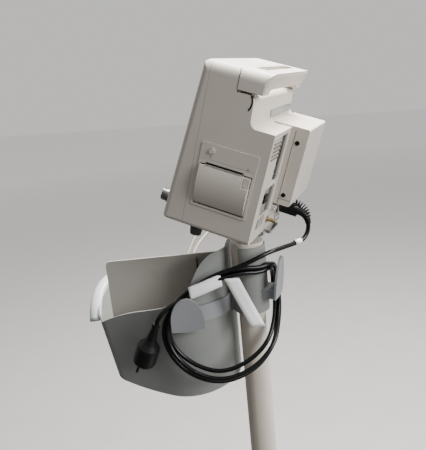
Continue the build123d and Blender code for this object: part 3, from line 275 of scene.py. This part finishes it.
# ---- finishes of this object -------------------------------------------------------------------
def shell_finish():
    """Fine-textured warm white moulding."""
    return finish("console shell", tuple(scene_settings().shell_colour), 0.46, 1500, 0.35, 0.00012, 0.035)


def pole_finish():
    """Satin powder coat."""
    colour = tuple(scene_settings().pole_colour)
    return finish("pole powder coat", colour, 0.38, 900, 0.3, 0.00015, 0.04, coat=0.1)


def basket_finish():
    """Grey moulding with a fine spark-eroded texture."""
    return finish("basket moulding", tuple(scene_settings().basket_colour), 0.5, 1100, 0.45, 0.0002, 0.06)


def lip_finish():
    """Lighter grey soft moulding of the lip."""
    return finish("basket lip", tuple(scene_settings().lip_colour), 0.42, 1100, 0.3, 0.00015, 0.04)


def hook_finish():
    """Mid-grey moulding of the hooks."""
    return finish("hook moulding", tuple(scene_settings().hook_colour), 0.42, 1200, 0.35, 0.00015, 0.05)


def cord_finish():
    """Glossy black jacket."""
    colour = tuple(scene_settings().cord_colour)
    return finish("cord jacket", colour, 0.22, 700, 0.12, 0.00008, 0.3, shine=0.35)


def lead_finish():
    """Cream jacket of the probe leads."""
    return finish("lead jacket", tuple(scene_settings().lead_colour), 0.4, 800, 0.15, 0.0001, 0.05)


def dark_finish():
    """Near-black satin moulding."""
    return finish("dark moulding", (0.005, 0.005, 0.0055), 0.36, 1200, 0.3, 0.0001, 0.25, shine=0.3)


def groove_finish():
    """Shadowed groove between mouldings."""
    return finish("groove shadow", (0.09, 0.08, 0.07), 0.7, 900, 0.2, 0.0001, 0.2)


def grey_finish():
    """Mid-grey trim."""
    return finish("grey trim", (0.30, 0.29, 0.27), 0.48, 1300, 0.35, 0.00012, 0.05)


def label_finish():
    """Blank satin label stock."""
    return finish("label stock", (0.94, 0.94, 0.92), 0.42, 260, 0.1, 0.00008, 0.03)


def card_painted_shade_finish():
    """Laminated card, with a soft sheen; its colour is darkened well below the card's own pale tone, as
    painted shade for the shade it sits in.
    """
    return finish("laminated card", (0.41, 0.38, 0.34), 0.3, 180, 0.08, 0.0001, 0.03, coat=0.2)


def rubber_finish():
    """Matt black rubber."""
    return finish("rubber", (0.018, 0.018, 0.018), 0.72, 650, 0.5, 0.0002, 0.2)


def metal_finish():
    """Bright plated steel."""
    return finish("bright steel", (0.62, 0.62, 0.61), 0.22, 500, 0.15, 0.00006, 0.06, metal=1.0)


def knob_finish():
    """Grey satin metal of the knob."""
    return finish("knob metal", (0.20, 0.20, 0.205), 0.3, 800, 0.2, 0.00006, 0.08, metal=0.8)


def vent_finish():
    """Shaded slots in the shell's own colour."""
    return finish("vent shade", (0.14, 0.125, 0.11), 0.7, 900, 0.2, 0.0001, 0.1)


def brass_finish():
    """Turned brass, dulled."""
    return finish("turned brass", (0.40, 0.29, 0.15), 0.36, 700, 0.2, 0.00006, 0.12, metal=1.0)


NODE_FINISHES = {
    shell_finish: [
        "front_bezel", "rear_housing", "carry_handle", "handle_caps", "module_cover", "printer_door",
        "printer_frame", "door_latch", "feed_button",
    ],
    pole_finish: ["pole", "pole_neck", "tilt_yoke", "base"],
    basket_finish: ["basket", "hook_collar"],
    hook_finish: ["rear_cord_hook", "side_cord_hook"],
    grey_finish: [
        "io_panel", "power_button", "tilt_lever", "caster_fork_1",
        "caster_fork_2", "caster_fork_3", "caster_fork_4",
    ],
    dark_finish: [
        "io_connectors", "ac_inlet", "mains_connector", "mains_plug", "lead_sockets", "print_head",
        "battery_pack", "lcd_panel", "module_screws", "grip_strip",
    ],
    rubber_finish: [
        "rubber_feet", "platen_roller", "caster_wheels_1", "caster_wheels_2", "caster_wheels_3",
        "caster_wheels_4",
    ],
    metal_finish: ["mount_plate", "cord_bail", "inner_chassis"],
    knob_finish: ["front_knob"],
    brass_finish: ["equipotential_post"],
    lead_finish: ["lead_plugs", "probe_1", "probe_2"],
    # The card and paper roll take a colour darkened as painted shade.
    card_painted_shade_finish: ["reference_card", "paper_roll"],
}


class CONSOLE_OT_finishes(bpy.types.Operator):
    """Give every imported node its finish"""

    bl_idname = "console.finishes"
    bl_label = "Node finishes"

    def execute(self, context):
        for make, names in NODE_FINISHES.items():
            for name in names:
                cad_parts[name].data.materials.clear()
                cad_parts[name].data.materials.append(make())
        glass = glass_finish("cover glass", (0.02, 0.022, 0.025), 0.55)
        board = finish("circuit board", (0.02, 0.12, 0.05), 0.4, 220, 0.6, 0.0004, 0.3)
        for name, material in (("screen_glass", glass), ("main_board", board)):
            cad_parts[name].data.materials.clear()
            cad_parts[name].data.materials.append(material)
        return {"FINISHED"}


# ---- mains cord --------------------------------------------------------------------------------
DROP_POINTS = [
    (-50, 98.396, 988.715),
    (-50, 98.331, 980.715),
    (-47.2, 96.5, 972.4),
    (-42, 93, 965.9),
    (-34.4, 88, 961.7),
    (-18, 77, 960.7),
    (6, 62.5, 961),
    (30, 47, 961),
    (47, 28, 954),
    (57, 2, 943),
]
LOOP_POINTS = [
    (70, -30, 931),
    (86, -61, 917),
    (100.5, -92, 893),
    (110, -121, 853),
    (113, -113, 806),
    (109, -78, 770),
    (98, -30, 754),
    (75, 18, 770),
    (46, 46.5, 800),
    (14, 48.5, 830),
    (-19, 42.5, 855),
    (-34, 34.5, 880),
    (-28, 36, 905),
    (-8, 40.3, 926),
    (16, 40, 933),
    (31, 29, 930),
    (50, 4, 935),
]
TAIL_POINTS = [
    (99, -89, 896),
    (114, -106, 889),
    (124.96, -121.1, 876.32),
    (124, -128, 862),
]
LOOP_MIDDLE = Vector((45, -20, 850))
BUNDLE_SPREAD = 4.7
FOOT_SPREAD = 6.0
FOOT_STARTS_AT = 830
FOOT_DEPTH = 60


def strand_offset(index, turn_angle):
    """Sideways place of a strand in the bundle, which opens out at the foot of the loop."""
    count = len(LOOP_POINTS)
    here = Vector(LOOP_POINTS[index % count])
    along = (Vector(LOOP_POINTS[(index + 1) % count]) - Vector(LOOP_POINTS[index % count - 1])).normalized()
    outward = here - LOOP_MIDDLE
    outward = (outward - along * outward.dot(along)).normalized()
    across = along.cross(outward)
    spread = BUNDLE_SPREAD + FOOT_SPREAD * min(1.0, max(0.0, (FOOT_STARTS_AT - here.z) / FOOT_DEPTH))
    return here + outward * (spread * math.cos(turn_angle)) + across * (spread * math.sin(turn_angle))


def mains_route(turns):
    """Down from the relief, round the two hooks, and out to the plug."""
    count = len(LOOP_POINTS)
    strands = max(3, turns)
    points = list(DROP_POINTS)
    for step in range(turns * count + 1):
        points.append(tuple(strand_offset(step, 2 * math.pi * step / (count * strands))))
    return millimetres(points + TAIL_POINTS)


class CONSOLE_OT_mains_cord(bpy.types.Operator):
    """Lay the mains cord from its relief, in turns over the hooks, to the plug"""

    bl_idname = "console.mains_cord"
    bl_label = "Mains cord"

    def execute(self, context):
        settings = scene_settings()
        curve = nurbs_line("mains_cord", mains_route(settings.cord_turns), settings.cord_diameter / 2)
        cord = new_piece("mains_cord", curve, cord_finish(), "stand")
        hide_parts("mains_cord_drop", "mains_cord_coil", "mains_cord_tail")
        return {"FINISHED"}


# ---- probe leads -------------------------------------------------------------------------------
LEAD_STARTS = [head_point(-154, -118, 34), head_point(-154, -84, 34)]
LEAD_ROUTES = [
    [
        (-183, -74, 1051), (-183, -99, 1020), (-168, -124, 988), (-147, -145, 958), (-127, -158, 930),
        (-110, -167, 905), (-94, -173, 879), (-81, -178, 850), (-75, -182, 815), (-74.5, -181, 783),
        (-77, -176, 760), (-79.5, -172, 745),
    ],
    [
        (-183, -42, 1041), (-181, -66, 1012), (-167, -92, 982), (-150, -115, 957), (-131, -133, 939),
        (-113, -144, 925), (-96, -150, 908), (-82, -146, 880), (-74, -134, 850), (-72, -117, 815),
        (-70, -103, 778), (-68, -94, 746), (-67.5, -92, 730),
    ],
]
LEAD_COILS = [Vector((-52, -178, 724.3)), Vector((-40, -100, 709.9))]
LEAD_ENDS = [
    [
        (-18, -166, 740), (-20, -148, 746), (-31, -133, 752), (-45, -128, 753.5), (-52, -134, 751),
        (-52, -147, 747),
    ],
    [(-7, -90, 726), (-8, -73, 730), (-16, -60, 733), (-29, -54, 735), (-38, -58, 734), (-40, -68, 732)],
]
WINDING = [
    (27.4, 12.4), (32.3, 12.4), (32.3, 7.5), (27.4, 7.5), (22.5, 7.5), (22.5, 2.7), (27.4, 2.7), (32.3, 2.7),
]
POINTS_PER_TURN = 14
COIL_TURNS = 7.5
STEP_OVER_FROM = 0.6
LEAD_STRAIGHT = 0.016


def coil_points(centre):
    """Turns of a wound lead, from its top layer down."""
    points = []
    for step in range(1, int(COIL_TURNS * POINTS_PER_TURN) + 1):
        turns = step / POINTS_PER_TURN
        index = int(turns)
        share = max(0.0, (turns - index - STEP_OVER_FROM) / (1 - STEP_OVER_FROM))
        radius, height = WINDING[index]
        next_radius, next_height = WINDING[min(index + 1, len(WINDING) - 1)]
        radius += (next_radius - radius) * share
        height += (next_height - height) * share
        turn = math.pi + 2 * math.pi * turns
        x = centre.x + radius * math.cos(turn)
        y = centre.y + radius * math.sin(turn)
        points.append((x, y, centre.z + height))
    return points


class CONSOLE_OT_probe_leads(bpy.types.Operator):
    """Lay both probe leads from their sockets into coils in the basket"""

    bl_idname = "console.probe_leads"
    bl_label = "Probe leads"

    def execute(self, context):
        settings = scene_settings()
        leads = zip(LEAD_STARTS, LEAD_ROUTES, LEAD_COILS, LEAD_ENDS)
        for number, (start, route, centre, end) in enumerate(leads, 1):
            straight = start - ACROSS * LEAD_STRAIGHT
            points = [tuple(start), tuple(straight)] + millimetres(route + coil_points(centre) + end)
            curve = nurbs_line(f"probe_lead_{number}", points, settings.lead_diameter / 2, 8)
            lead = new_piece(f"probe_lead_{number}", curve, lead_finish(), "stand")
            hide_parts(f"lead_cable_{number}", f"lead_coil_{number}")
        return {"FINISHED"}


# ---- blank labels on the cord ------------------------------------------------------------------
def paper_strip(work, start, end, width_way, width, sag, thickness=0.0005, steps=14):
    """Slightly curved strip of paper between two points."""
    start = Vector(start)
    end = Vector(end)
    width_way = Vector(width_way).normalized()
    along = (end - start).normalized()
    out = along.cross(width_way).normalized()
    rows = []
    for layer in (-thickness / 2, thickness / 2):
        for step in range(steps + 1):
            share = step / steps
            middle = start.lerp(end, share) + out * (sag * math.sin(math.pi * share) + layer)
            sides = (-0.5, -0.17, 0.17, 0.5)
            rows.append([work.verts.new(middle + width_way * (width * side)) for side in sides])
    half = steps + 1
    for layer in (0, half):
        for step in range(steps):
            for k in range(3):
                a, b = rows[layer + step], rows[layer + step + 1]
                work.faces.new((a[k], a[k + 1], b[k + 1], b[k]))
    for step in range(steps):
        for k in (0, 3):
            work.faces.new((rows[step][k], rows[step + 1][k], rows[half + step + 1][k], rows[half + step][k]))
    for step in (0, steps):
        for k in range(3):
            work.faces.new((rows[step][k], rows[step][k + 1], rows[half + step][k + 1], rows[half + step][k]))


def sleeve_outline(work):
    """Sleeve wrapped round the drop of the cord."""
    outline = [(0.0041, -0.007), (0.0048, -0.007), (0.0049, 0), (0.0048, 0.007), (0.0041, 0.007)]
    add_ring(work, (-0.0275, 0.0833, 0.9622), (0.82, -0.55, -0.05), (0, 0, 1), outline, closed=False)


class CONSOLE_OT_cord_labels(bpy.types.Operator):
    """Hang the blank tag and flag, and wrap the sleeve, on the mains cord"""

    bl_idname = "console.cord_labels"
    bl_label = "Cord labels"

    def execute(self, context):
        def flag(work):
            upright = (-0.18, -0.2, 1)
            paper_strip(work, (0.1045, -0.0705, 0.9115), (0.0735, -0.0245, 0.9255), upright, 0.020, 0.003)
            paper_strip(work, (0.1030, -0.0715, 0.9112), (0.0720, -0.0255, 0.9252), upright, 0.020, 0.003)

        def tag(work):
            level = (0.55, -0.78, 0.1)
            paper_strip(work, (0.0647, -0.0095, 0.9255), (0.0415, 0.0230, 0.8300), level, 0.026, 0.004)

        for name, build in (("cord_flag", flag), ("cord_tag", tag), ("cord_sleeve", sleeve_outline)):
            piece = new_piece(name, mesh_of(name, build), label_finish(), "stand")
            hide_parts("cord_labels")
        return {"FINISHED"}


# ---- printer -----------------------------------------------------------------------------------
def printer_grooves(work):
    """Thin rectangle of grooves round the printer, drawn as dark strips of painted shade."""
    depth = 0.0006
    x = 120.9
    spans = [
        ((-57.5, 112.0), (81, 0.7)),
        ((-57.5, 41.3), (82, 0.9)),
        ((-99.0, 73), (0.7, 62)),
        ((-17.0, 73), (0.7, 62)),
    ]
    for (u, w), (long_u, long_w) in spans:
        add_block(work, head_point(x, u, w), HEAD_AXES, (depth, long_u / 1000, long_w / 1000))


def tear_bar(work):
    """Toothed edge above the door, over the paper's slot."""
    teeth = 44
    for i in range(teeth):
        u = -90 + 58 * (i + 0.5) / teeth
        add_block(work, head_point(122.2, u, 105.2), HEAD_AXES, (0.0016, 0.0008, 0.0022))
    add_block(work, head_point(121.4, -61, 106.6), HEAD_AXES, (0.0016, 0.060, 0.0014))


def paper_lip(work):
    """End of the paper that stands out of the slot."""
    add_block(work, head_point(123.6, -61, 104.4), HEAD_AXES, (0.006, 0.057, 0.0003))


def printer_marks(work):
    """Small raised triangle and square beside the printer's controls."""
    corner = [head_point(121.0, -28.5, 112.6), head_point(121.0, -23.5, 112.6), head_point(121.0, -26, 116.6)]
    lifted = [point + ACROSS * 0.0005 for point in corner]
    low = [work.verts.new(point) for point in corner]
    high = [work.verts.new(point) for point in lifted]
    work.faces.new(high)
    work.faces.new(low[::-1])
    for i in range(3):
        work.faces.new((low[i], low[(i + 1) % 3], high[(i + 1) % 3], high[i]))
    add_block(work, head_point(121.1, -85.5, 116.6), HEAD_AXES, (0.0005, 0.0028, 0.0028), 0.0001)


def feed_ring(work):
    """Ring round the feed button."""
    outline = [(0.0045, 0), (0.0045, 0.0007), (0.0052, 0.0007), (0.0056, 0)]
    add_ring(work, head_point(121.0, -85.5, 125.5), ACROSS, HEAD_U, outline, closed=False)


class CONSOLE_OT_printer_details(bpy.types.Operator):
    """Add the printer's grooves, tear bar, paper edge and marks"""

    bl_idname = "console.printer_details"
    bl_label = "Printer details"

    def execute(self, context):
        pieces = [
            ("printer_grooves", printer_grooves, groove_finish(), "head", "grey_trim"),
            ("tear_bar", tear_bar, dark_finish(), "head", "sheet_steel"),
            ("printer_marks", printer_marks, grey_finish(), "head", "grey_trim"),
            ("feed_ring", feed_ring, shell_finish(), "head", "console_shell"),
        ]
        for name, build, material, body, slot in pieces:
            new_piece(name, mesh_of(name, build, smooth=False), material, body)
        paper = mesh_of("paper_lip", paper_lip, smooth=False)
        # The paper's edge takes the card's darkened colour, which is painted shade.
        new_piece("paper_lip", paper, card_painted_shade_finish(), "head")
        return {"FINISHED"}


# ---- console shell details ---------------------------------------------------------------------
def shell_seams(work):
    """Shadow lines where the mouldings of the shell meet."""
    for side in (-1, 1):
        x = side * SIDE_WALL
        add_block(work, head_point(x, -69.0, 235), HEAD_AXES, (0.0005, 0.0009, 0.029))
        add_block(work, head_point(x, -54, 219.2), HEAD_AXES, (0.0005, 0.030, 0.0009))


def rear_vents(work):
    """Rows of narrow dark slots high on the panel and along the shell's foot."""
    for row in range(5):
        for column in range(3):
            place = head_point(72 + column * 15, 0.4, 133 + row * 6)
            add_block(work, place, HEAD_AXES, (0.0115, 0.0008, 0.0026), 0.0003, 1)
    for column in range(14):
        place = head_point(-52 + column * 8, -60, -0.2)
        add_block(work, place, HEAD_AXES, (0.0032, 0.036, 0.0008))


def module_lines(work):
    """Parting lines of the module cover, drawn as dark strips of painted shade."""
    add_block(work, head_point(18.0, 8, 108), HEAD_AXES, (0.0004, 0.0007, 0.122))
    add_block(work, head_point(18.0, 18, 56), HEAD_AXES, (0.0004, 0.020, 0.0007))


def blank_plates(work):
    """Blank rating plates on the rear and under the module."""
    add_block(work, head_point(-51, 14, 45.8), HEAD_AXES, (0.070, 0.018, 0.0006), 0.0002, 1)
    add_block(work, head_point(78, 0.9, 30), HEAD_AXES, (0.036, 0.0006, 0.018), 0.0002, 1)


def key_pad(work):
    """Row of soft keys under the display."""
    for i in range(6):
        add_block(work, face_point(-66 + i * 24, 30, 0.9), FACE_AXES, (0.017, 0.011, 0.0018), 0.0008, 3)


def display_border(work):
    """Thin raised border round the display window."""
    low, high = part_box("screen_glass")
    width = (high.x - low.x) * 1000
    foot, top = 71.0, 223.0
    for x in (-width / 2 - 1.2, width / 2 + 1.2):
        place = face_point(x, (foot + top) / 2, 0.3)
        add_block(work, place, FACE_AXES, (0.0016, (top - foot) / 1000, 0.0012), 0.0004, 2)
    for up in (foot, top):
        place = face_point(0, up, 0.3)
        add_block(work, place, FACE_AXES, ((width + 4) / 1000, 0.0016, 0.0012), 0.0004, 2)


def grip_band(work):
    """Soft grey band along the foot of the recess, above the module."""
    add_block(work, head_point(-46, -38.6, 183), HEAD_AXES, (0.127, 0.0032, 0.0125), 0.0014, 3)


def well_ends(work):
    """Shadowed slots at both ends of the finger well."""
    for side in (-1, 1):
        for step in range(7):
            turn = math.radians(-50 + 100 * step / 6)
            place = head_point(side * 118.2, -50 + 7 * math.cos(turn), 205.5 + 12 * math.sin(turn))
            add_block(work, place, HEAD_AXES, (0.0044, 0.0030, 0.0046), 0.0011, 2)


def relief_ribs(work):
    """Ribs of the strain relief, thinner towards its tip."""
    low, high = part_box("mains_connector")
    centre_y = high.y - 0.0049 - 0.024
    bend = Vector(((low.x + high.x) / 2, centre_y, low.z + 0.0128))
    for step in range(9):
        turn = math.radians(-6 + 86 * step / 8)
        spoke = Vector((0, math.sin(turn + 0.32), math.cos(turn + 0.32)))
        along = Vector((0, math.cos(turn + 0.32), -math.sin(turn + 0.32)))
        radius = 0.0068 - 0.00019 * step
        outline = [(radius - 0.0012, -0.0011), (radius, -0.0006), (radius, 0.0006), (radius - 0.0012, 0.0011)]
        add_ring(work, bend + spoke * 0.024, along, ACROSS, outline, 24, closed=False)


class CONSOLE_OT_shell_details(bpy.types.Operator):
    """Add seams, vents, key pad, display border, well ends, relief ribs and blank plates"""

    bl_idname = "console.shell_details"
    bl_label = "Shell details"

    def execute(self, context):
        pieces = [
            ("shell_seams", shell_seams, groove_finish(), "grey_trim"),
            ("rear_vents", rear_vents, vent_finish(), "panel_dark"),
            ("module_lines", module_lines, groove_finish(), "grey_trim"),
            ("blank_plates", blank_plates, grey_finish(), "label_white"),
            ("key_pad", key_pad, grey_finish(), "grey_trim"),
            ("display_border", display_border, grey_finish(), "grey_trim"),
            ("well_ends", well_ends, dark_finish(), "grey_trim"),
            ("relief_ribs", relief_ribs, dark_finish(), "panel_dark"),
        ]
        for name, build, material, slot in pieces:
            new_piece(name, mesh_of(name, build, smooth=False), material, "head")
        band_mesh = mesh_of("grip_band", grip_band, smooth=False)
        band = new_piece("grip_band", band_mesh, hook_finish(), "head")
        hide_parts("grip_strip")
        return {"FINISHED"}


# ---- basket and card details -------------------------------------------------------------------
LIP_HALF_WIDTH = 0.0125
LIP_HALF_DEPTH = 0.0075
RING_RADIUS = 0.011
RING_WIRE = 0.0014


def lip_cover(work):
    """Lighter soft cover that wraps the rolled lip of the basket."""
    first, middle, last = (Vector(p) / 1000 for p in ((-86, -276, 838), (0, -290, 889), (86, -276, 838)))
    across = (last - first) / 2
    rise = middle - (first + last) / 2
    half = across.length
    height = rise.length
    radius = (half * half + height * height) / (2 * height)
    centre = middle - rise.normalized() * radius
    reach = math.asin(half / radius)
    side = across.normalized()
    up = rise.normalized()
    normal = side.cross(up)
    rows = []
    count = 40
    for step in range(count + 1):
        turn = -reach + 2 * reach * step / count
        spoke = up * math.cos(turn) + side * math.sin(turn)
        middle_line = centre + spoke * radius
        ring = []
        for k in range(20):
            around = 2 * math.pi * k / 20
            wide = normal * (LIP_HALF_WIDTH * math.cos(around))
            ring.append(work.verts.new(middle_line + wide + spoke * (LIP_HALF_DEPTH * math.sin(around))))
        rows.append(ring)
    for low, high in zip(rows, rows[1:]):
        for k in range(20):
            work.faces.new((low[k], low[(k + 1) % 20], high[(k + 1) % 20], high[k]))
    work.faces.new(rows[0][::-1])
    work.faces.new(rows[-1])


def card_rings(work):
    """Two black binding rings at the card's top corner."""
    rear = Vector((-0.002, -0.055, 0))
    front = Vector((0.0742, -0.2443, 0))
    along = (front - rear).normalized()
    across = Vector((0, 0, 1)).cross(along)
    for place in (0.014, 0.040):
        centre = rear + along * place + Vector((0, 0, 0.9315))
        count = 36
        rows = []
        for i in range(count):
            turn = 2 * math.pi * i / count
            spoke = across * math.cos(turn) + Vector((0, 0, 1)) * math.sin(turn)
            ring = []
            for k in range(8):
                around = 2 * math.pi * k / 8
                reach = RING_RADIUS + RING_WIRE * math.cos(around)
                ring.append(work.verts.new(centre + spoke * reach + along * (RING_WIRE * math.sin(around))))
            rows.append(ring)
        for i in range(count):
            low, high = rows[i], rows[(i + 1) % count]
            for k in range(8):
                work.faces.new((low[k], low[(k + 1) % 8], high[(k + 1) % 8], high[k]))


class CONSOLE_OT_basket_details(bpy.types.Operator):
    """Cover the basket's lip and bind the card with rings"""

    bl_idname = "console.basket_details"
    bl_label = "Basket details"

    def execute(self, context):
        new_piece("lip_cover", mesh_of("lip_cover", lip_cover), lip_finish(), "stand")
        new_piece("card_rings", mesh_of("card_rings", card_rings), dark_finish(), "reference_card")
        return {"FINISHED"}


# ---- cord and caster fittings ------------------------------------------------------------------
def caster_rings(number):
    """Hub caps and tread lines of one pair of caster wheels."""
    low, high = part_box(f"caster_wheels_{number}")
    middle = (low + high) / 2

    def build(work):
        for side in (-1, 1):
            face = Vector((middle.x + side * (high.x - low.x) / 2, middle.y, middle.z))
            outline = [
                (0.0265, -0.0004), (0.0262, 0.0008), (0.0225, 0.0011), (0.0205, 0.0003), (0.0120, 0.0003),
                (0.0105, 0.0014), (0.0040, 0.0018),
            ]
            add_ring(work, face, ACROSS * side, Vector((0, 0, 1)), outline)
    return build


class CONSOLE_OT_caster_details(bpy.types.Operator):
    """Cap the hubs of the casters"""

    bl_idname = "console.caster_details"
    bl_label = "Caster details"

    def execute(self, context):
        for number in range(1, 5):
            name = f"hub_caps_{number}"
            mesh = mesh_of(name, caster_rings(number))
            new_piece(name, mesh, grey_finish(), f"caster_wheels_{number}")
        return {"FINISHED"}


# ---- stage -------------------------------------------------------------------------------------
CAMERA_PLACE = Vector((0.8584, 0.2946, 1.2480))
CAMERA_AZIMUTH = 112.44
CAMERA_PITCH = 15.02
CAMERA_ROLL = -5.64
FOCAL_LENGTH = 43.6
SENSOR_WIDTH = 36.0
OVERHEAD_PLACE = (-0.45, 0.35, 2.55)
REAR_FILL_PLACE = (0.6, 2.2, 1.9)
REAR_FILL_SHARE = 0.35
ROOM_BRIGHT_SIDE = (-0.58, 0.50, 0.64)
ROOM_LEVELS = (0.13, 1.15)
BACKGROUND_TONE = (0.695, 0.683, 0.665, 1)
FLOOR_HALF_SIZE = 14.0
FLOOR_DROP = 0.0005


def camera_turn():
    """Camera axes from its compass heading, its downward pitch and its roll."""
    azimuth, pitch, roll = (math.radians(v) for v in (CAMERA_AZIMUTH, CAMERA_PITCH, CAMERA_ROLL))
    level = math.cos(pitch)
    forward = Vector((-math.sin(azimuth) * level, math.cos(azimuth) * level, -math.sin(pitch)))
    right = forward.cross(Vector((0, 0, 1))).normalized()
    up = right.cross(forward)
    right_rolled = right * math.cos(roll) + up * math.sin(roll)
    up_rolled = up * math.cos(roll) - right * math.sin(roll)
    return Matrix((right_rolled, up_rolled, -forward)).transposed().to_4x4()


def area_light(name, place, aim, size, power, colour):
    """Square soft light that points at a place."""
    light = bpy.data.lights.new(name, "AREA")
    light.shape = "SQUARE"
    light.size = size
    light.energy = power
    light.color = colour
    lamp = bpy.data.objects.new(name, light)
    lamp.location = place
    lamp.rotation_euler = (Vector(aim) - Vector(place)).to_track_quat("-Z", "Y").to_euler()
    bpy.context.scene.collection.objects.link(lamp)


def floor_finish():
    """Pale floor, lighter in colour away from the stand: painted light that evens out the overhead light's
    fall-off, so the far floor meets the background.
    """
    material = finish("pale floor", (0.45, 0.437, 0.415), 0.8, 40, 0.05, 0.0002, 0.02)
    tree = material.node_tree
    shader = tree.nodes["Principled BSDF"]
    place = tree.nodes.new("ShaderNodeTexCoord")
    reach = tree.nodes.new("ShaderNodeVectorMath")
    reach.operation = "LENGTH"
    # Painted light: the floor's colour brightens with distance from the stand, making up for the lamps'
    # fall-off.
    painted_light_ramp = tree.nodes.new("ShaderNodeMapRange")
    painted_light_ramp.inputs["From Min"].default_value = 1.0
    painted_light_ramp.inputs["From Max"].default_value = 8.0
    tone = tree.nodes.new("ShaderNodeMixRGB")
    tone.inputs["Color2"].default_value = (0.95, 0.93, 0.90, 1)
    tree.links.new(place.outputs["Object"], reach.inputs[0])
    tree.links.new(reach.outputs["Value"], painted_light_ramp.inputs["Value"])
    tree.links.new(painted_light_ramp.outputs["Result"], tone.inputs["Fac"])
    tree.links.new(shader.inputs["Base Color"].links[0].from_socket, tone.inputs["Color1"])
    tree.links.new(tone.outputs["Color"], shader.inputs["Base Color"])
    return material


def floor_grid(work):
    """Square of floor, wide enough for every view."""
    bmesh.ops.create_grid(work, x_segments=8, y_segments=8, size=FLOOR_HALF_SIZE)


class CONSOLE_OT_stage(bpy.types.Operator):
    """Set the camera, the soft lights, the pale floor and the room's light"""

    bl_idname = "console.stage"
    bl_label = "Stage"

    def execute(self, context):
        lens = bpy.data.cameras.new("camera")
        lens.sensor_width = SENSOR_WIDTH
        lens.lens = FOCAL_LENGTH
        camera = bpy.data.objects.new("camera", lens)
        camera.matrix_world = Matrix.Translation(CAMERA_PLACE) @ camera_turn()
        context.scene.collection.objects.link(camera)
        context.scene.camera = camera
        power = scene_settings().key_light
        area_light("overhead", OVERHEAD_PLACE, (0, 0, 1.1), 0.9, power, (1.0, 0.985, 0.96))
        area_light("rear_fill", REAR_FILL_PLACE, (0, 0, 1.0), 1.2, power * REAR_FILL_SHARE, (0.97, 0.985, 1.0))
        floor = mesh_of("floor", floor_grid)
        ground = bpy.data.objects.new("floor", floor)
        ground.location.z = -FLOOR_DROP
        context.scene.collection.objects.link(ground)
        ground.data.materials.append(floor_finish())
        ground.visible_diffuse = False
        ground.visible_glossy = False
        world = bpy.data.worlds.new("room")
        world.use_nodes = True
        tree = world.node_tree
        tree.nodes["Background"].inputs["Color"].default_value = BACKGROUND_TONE
        tree.nodes["Background"].inputs["Strength"].default_value = 1.0
        room = tree.nodes.new("ShaderNodeBackground")
        coordinates = tree.nodes.new("ShaderNodeTexCoord")
        facing = tree.nodes.new("ShaderNodeVectorMath")
        facing.operation = "DOT_PRODUCT"
        facing.inputs[1].default_value = ROOM_BRIGHT_SIDE
        level = tree.nodes.new("ShaderNodeMapRange")
        level.inputs["From Min"].default_value = -0.8
        level.inputs["From Max"].default_value = 1.0
        level.inputs["To Min"].default_value = ROOM_LEVELS[0]
        level.inputs["To Max"].default_value = ROOM_LEVELS[1]
        seen = tree.nodes.new("ShaderNodeLightPath")
        mix = tree.nodes.new("ShaderNodeMixShader")
        tree.links.new(coordinates.outputs["Generated"], facing.inputs[0])
        tree.links.new(facing.outputs["Value"], level.inputs["Value"])
        tree.links.new(level.outputs["Result"], room.inputs["Strength"])
        tree.links.new(seen.outputs["Is Camera Ray"], mix.inputs["Fac"])
        tree.links.new(room.outputs["Background"], mix.inputs[1])
        tree.links.new(tree.nodes["Background"].outputs["Background"], mix.inputs[2])
        tree.links.new(mix.outputs["Shader"], tree.nodes["World Output"].inputs["Surface"])
        context.scene.world = world
        return {"FINISHED"}


# ---- panel and registration --------------------------------------------------------------------
PIECES = [
    "finishes", "mains_cord", "probe_leads", "cord_labels", "printer_details", "shell_details",
    "basket_details", "caster_details", "stage",
]


class CONSOLE_PT_panel(bpy.types.Panel):
    """Lists the settings and the pieces of the console and its stand"""

    bl_idname = "CONSOLE_PT_panel"
    bl_label = "Console stand"
    bl_space_type = "VIEW_3D"
    bl_region_type = "UI"
    bl_category = "Console"

    def draw(self, context):
        settings = context.scene.console_stand
        for name in ConsoleStandSettings.__annotations__:
            self.layout.prop(settings, name)
        for piece in PIECES:
            self.layout.operator(f"console.{piece}")


CLASSES = [
    ConsoleStandSettings, CONSOLE_OT_finishes, CONSOLE_OT_mains_cord, CONSOLE_OT_probe_leads,
    CONSOLE_OT_cord_labels, CONSOLE_OT_printer_details, CONSOLE_OT_shell_details, CONSOLE_OT_basket_details,
    CONSOLE_OT_caster_details, CONSOLE_OT_stage, CONSOLE_PT_panel,
]


def register():
    """Make the settings, operators and panel known."""
    for item in CLASSES:
        bpy.utils.register_class(item)
    bpy.types.Scene.console_stand = bpy.props.PointerProperty(type=ConsoleStandSettings)


def unregister():
    """Take them away again."""
    del bpy.types.Scene.console_stand
    for item in reversed(CLASSES):
        bpy.utils.unregister_class(item)


def main():
    """Register the add-on and build every piece in order."""
    register()
    for piece in PIECES:
        getattr(bpy.ops.console, piece)()


if __name__ == "__main__":
    main()
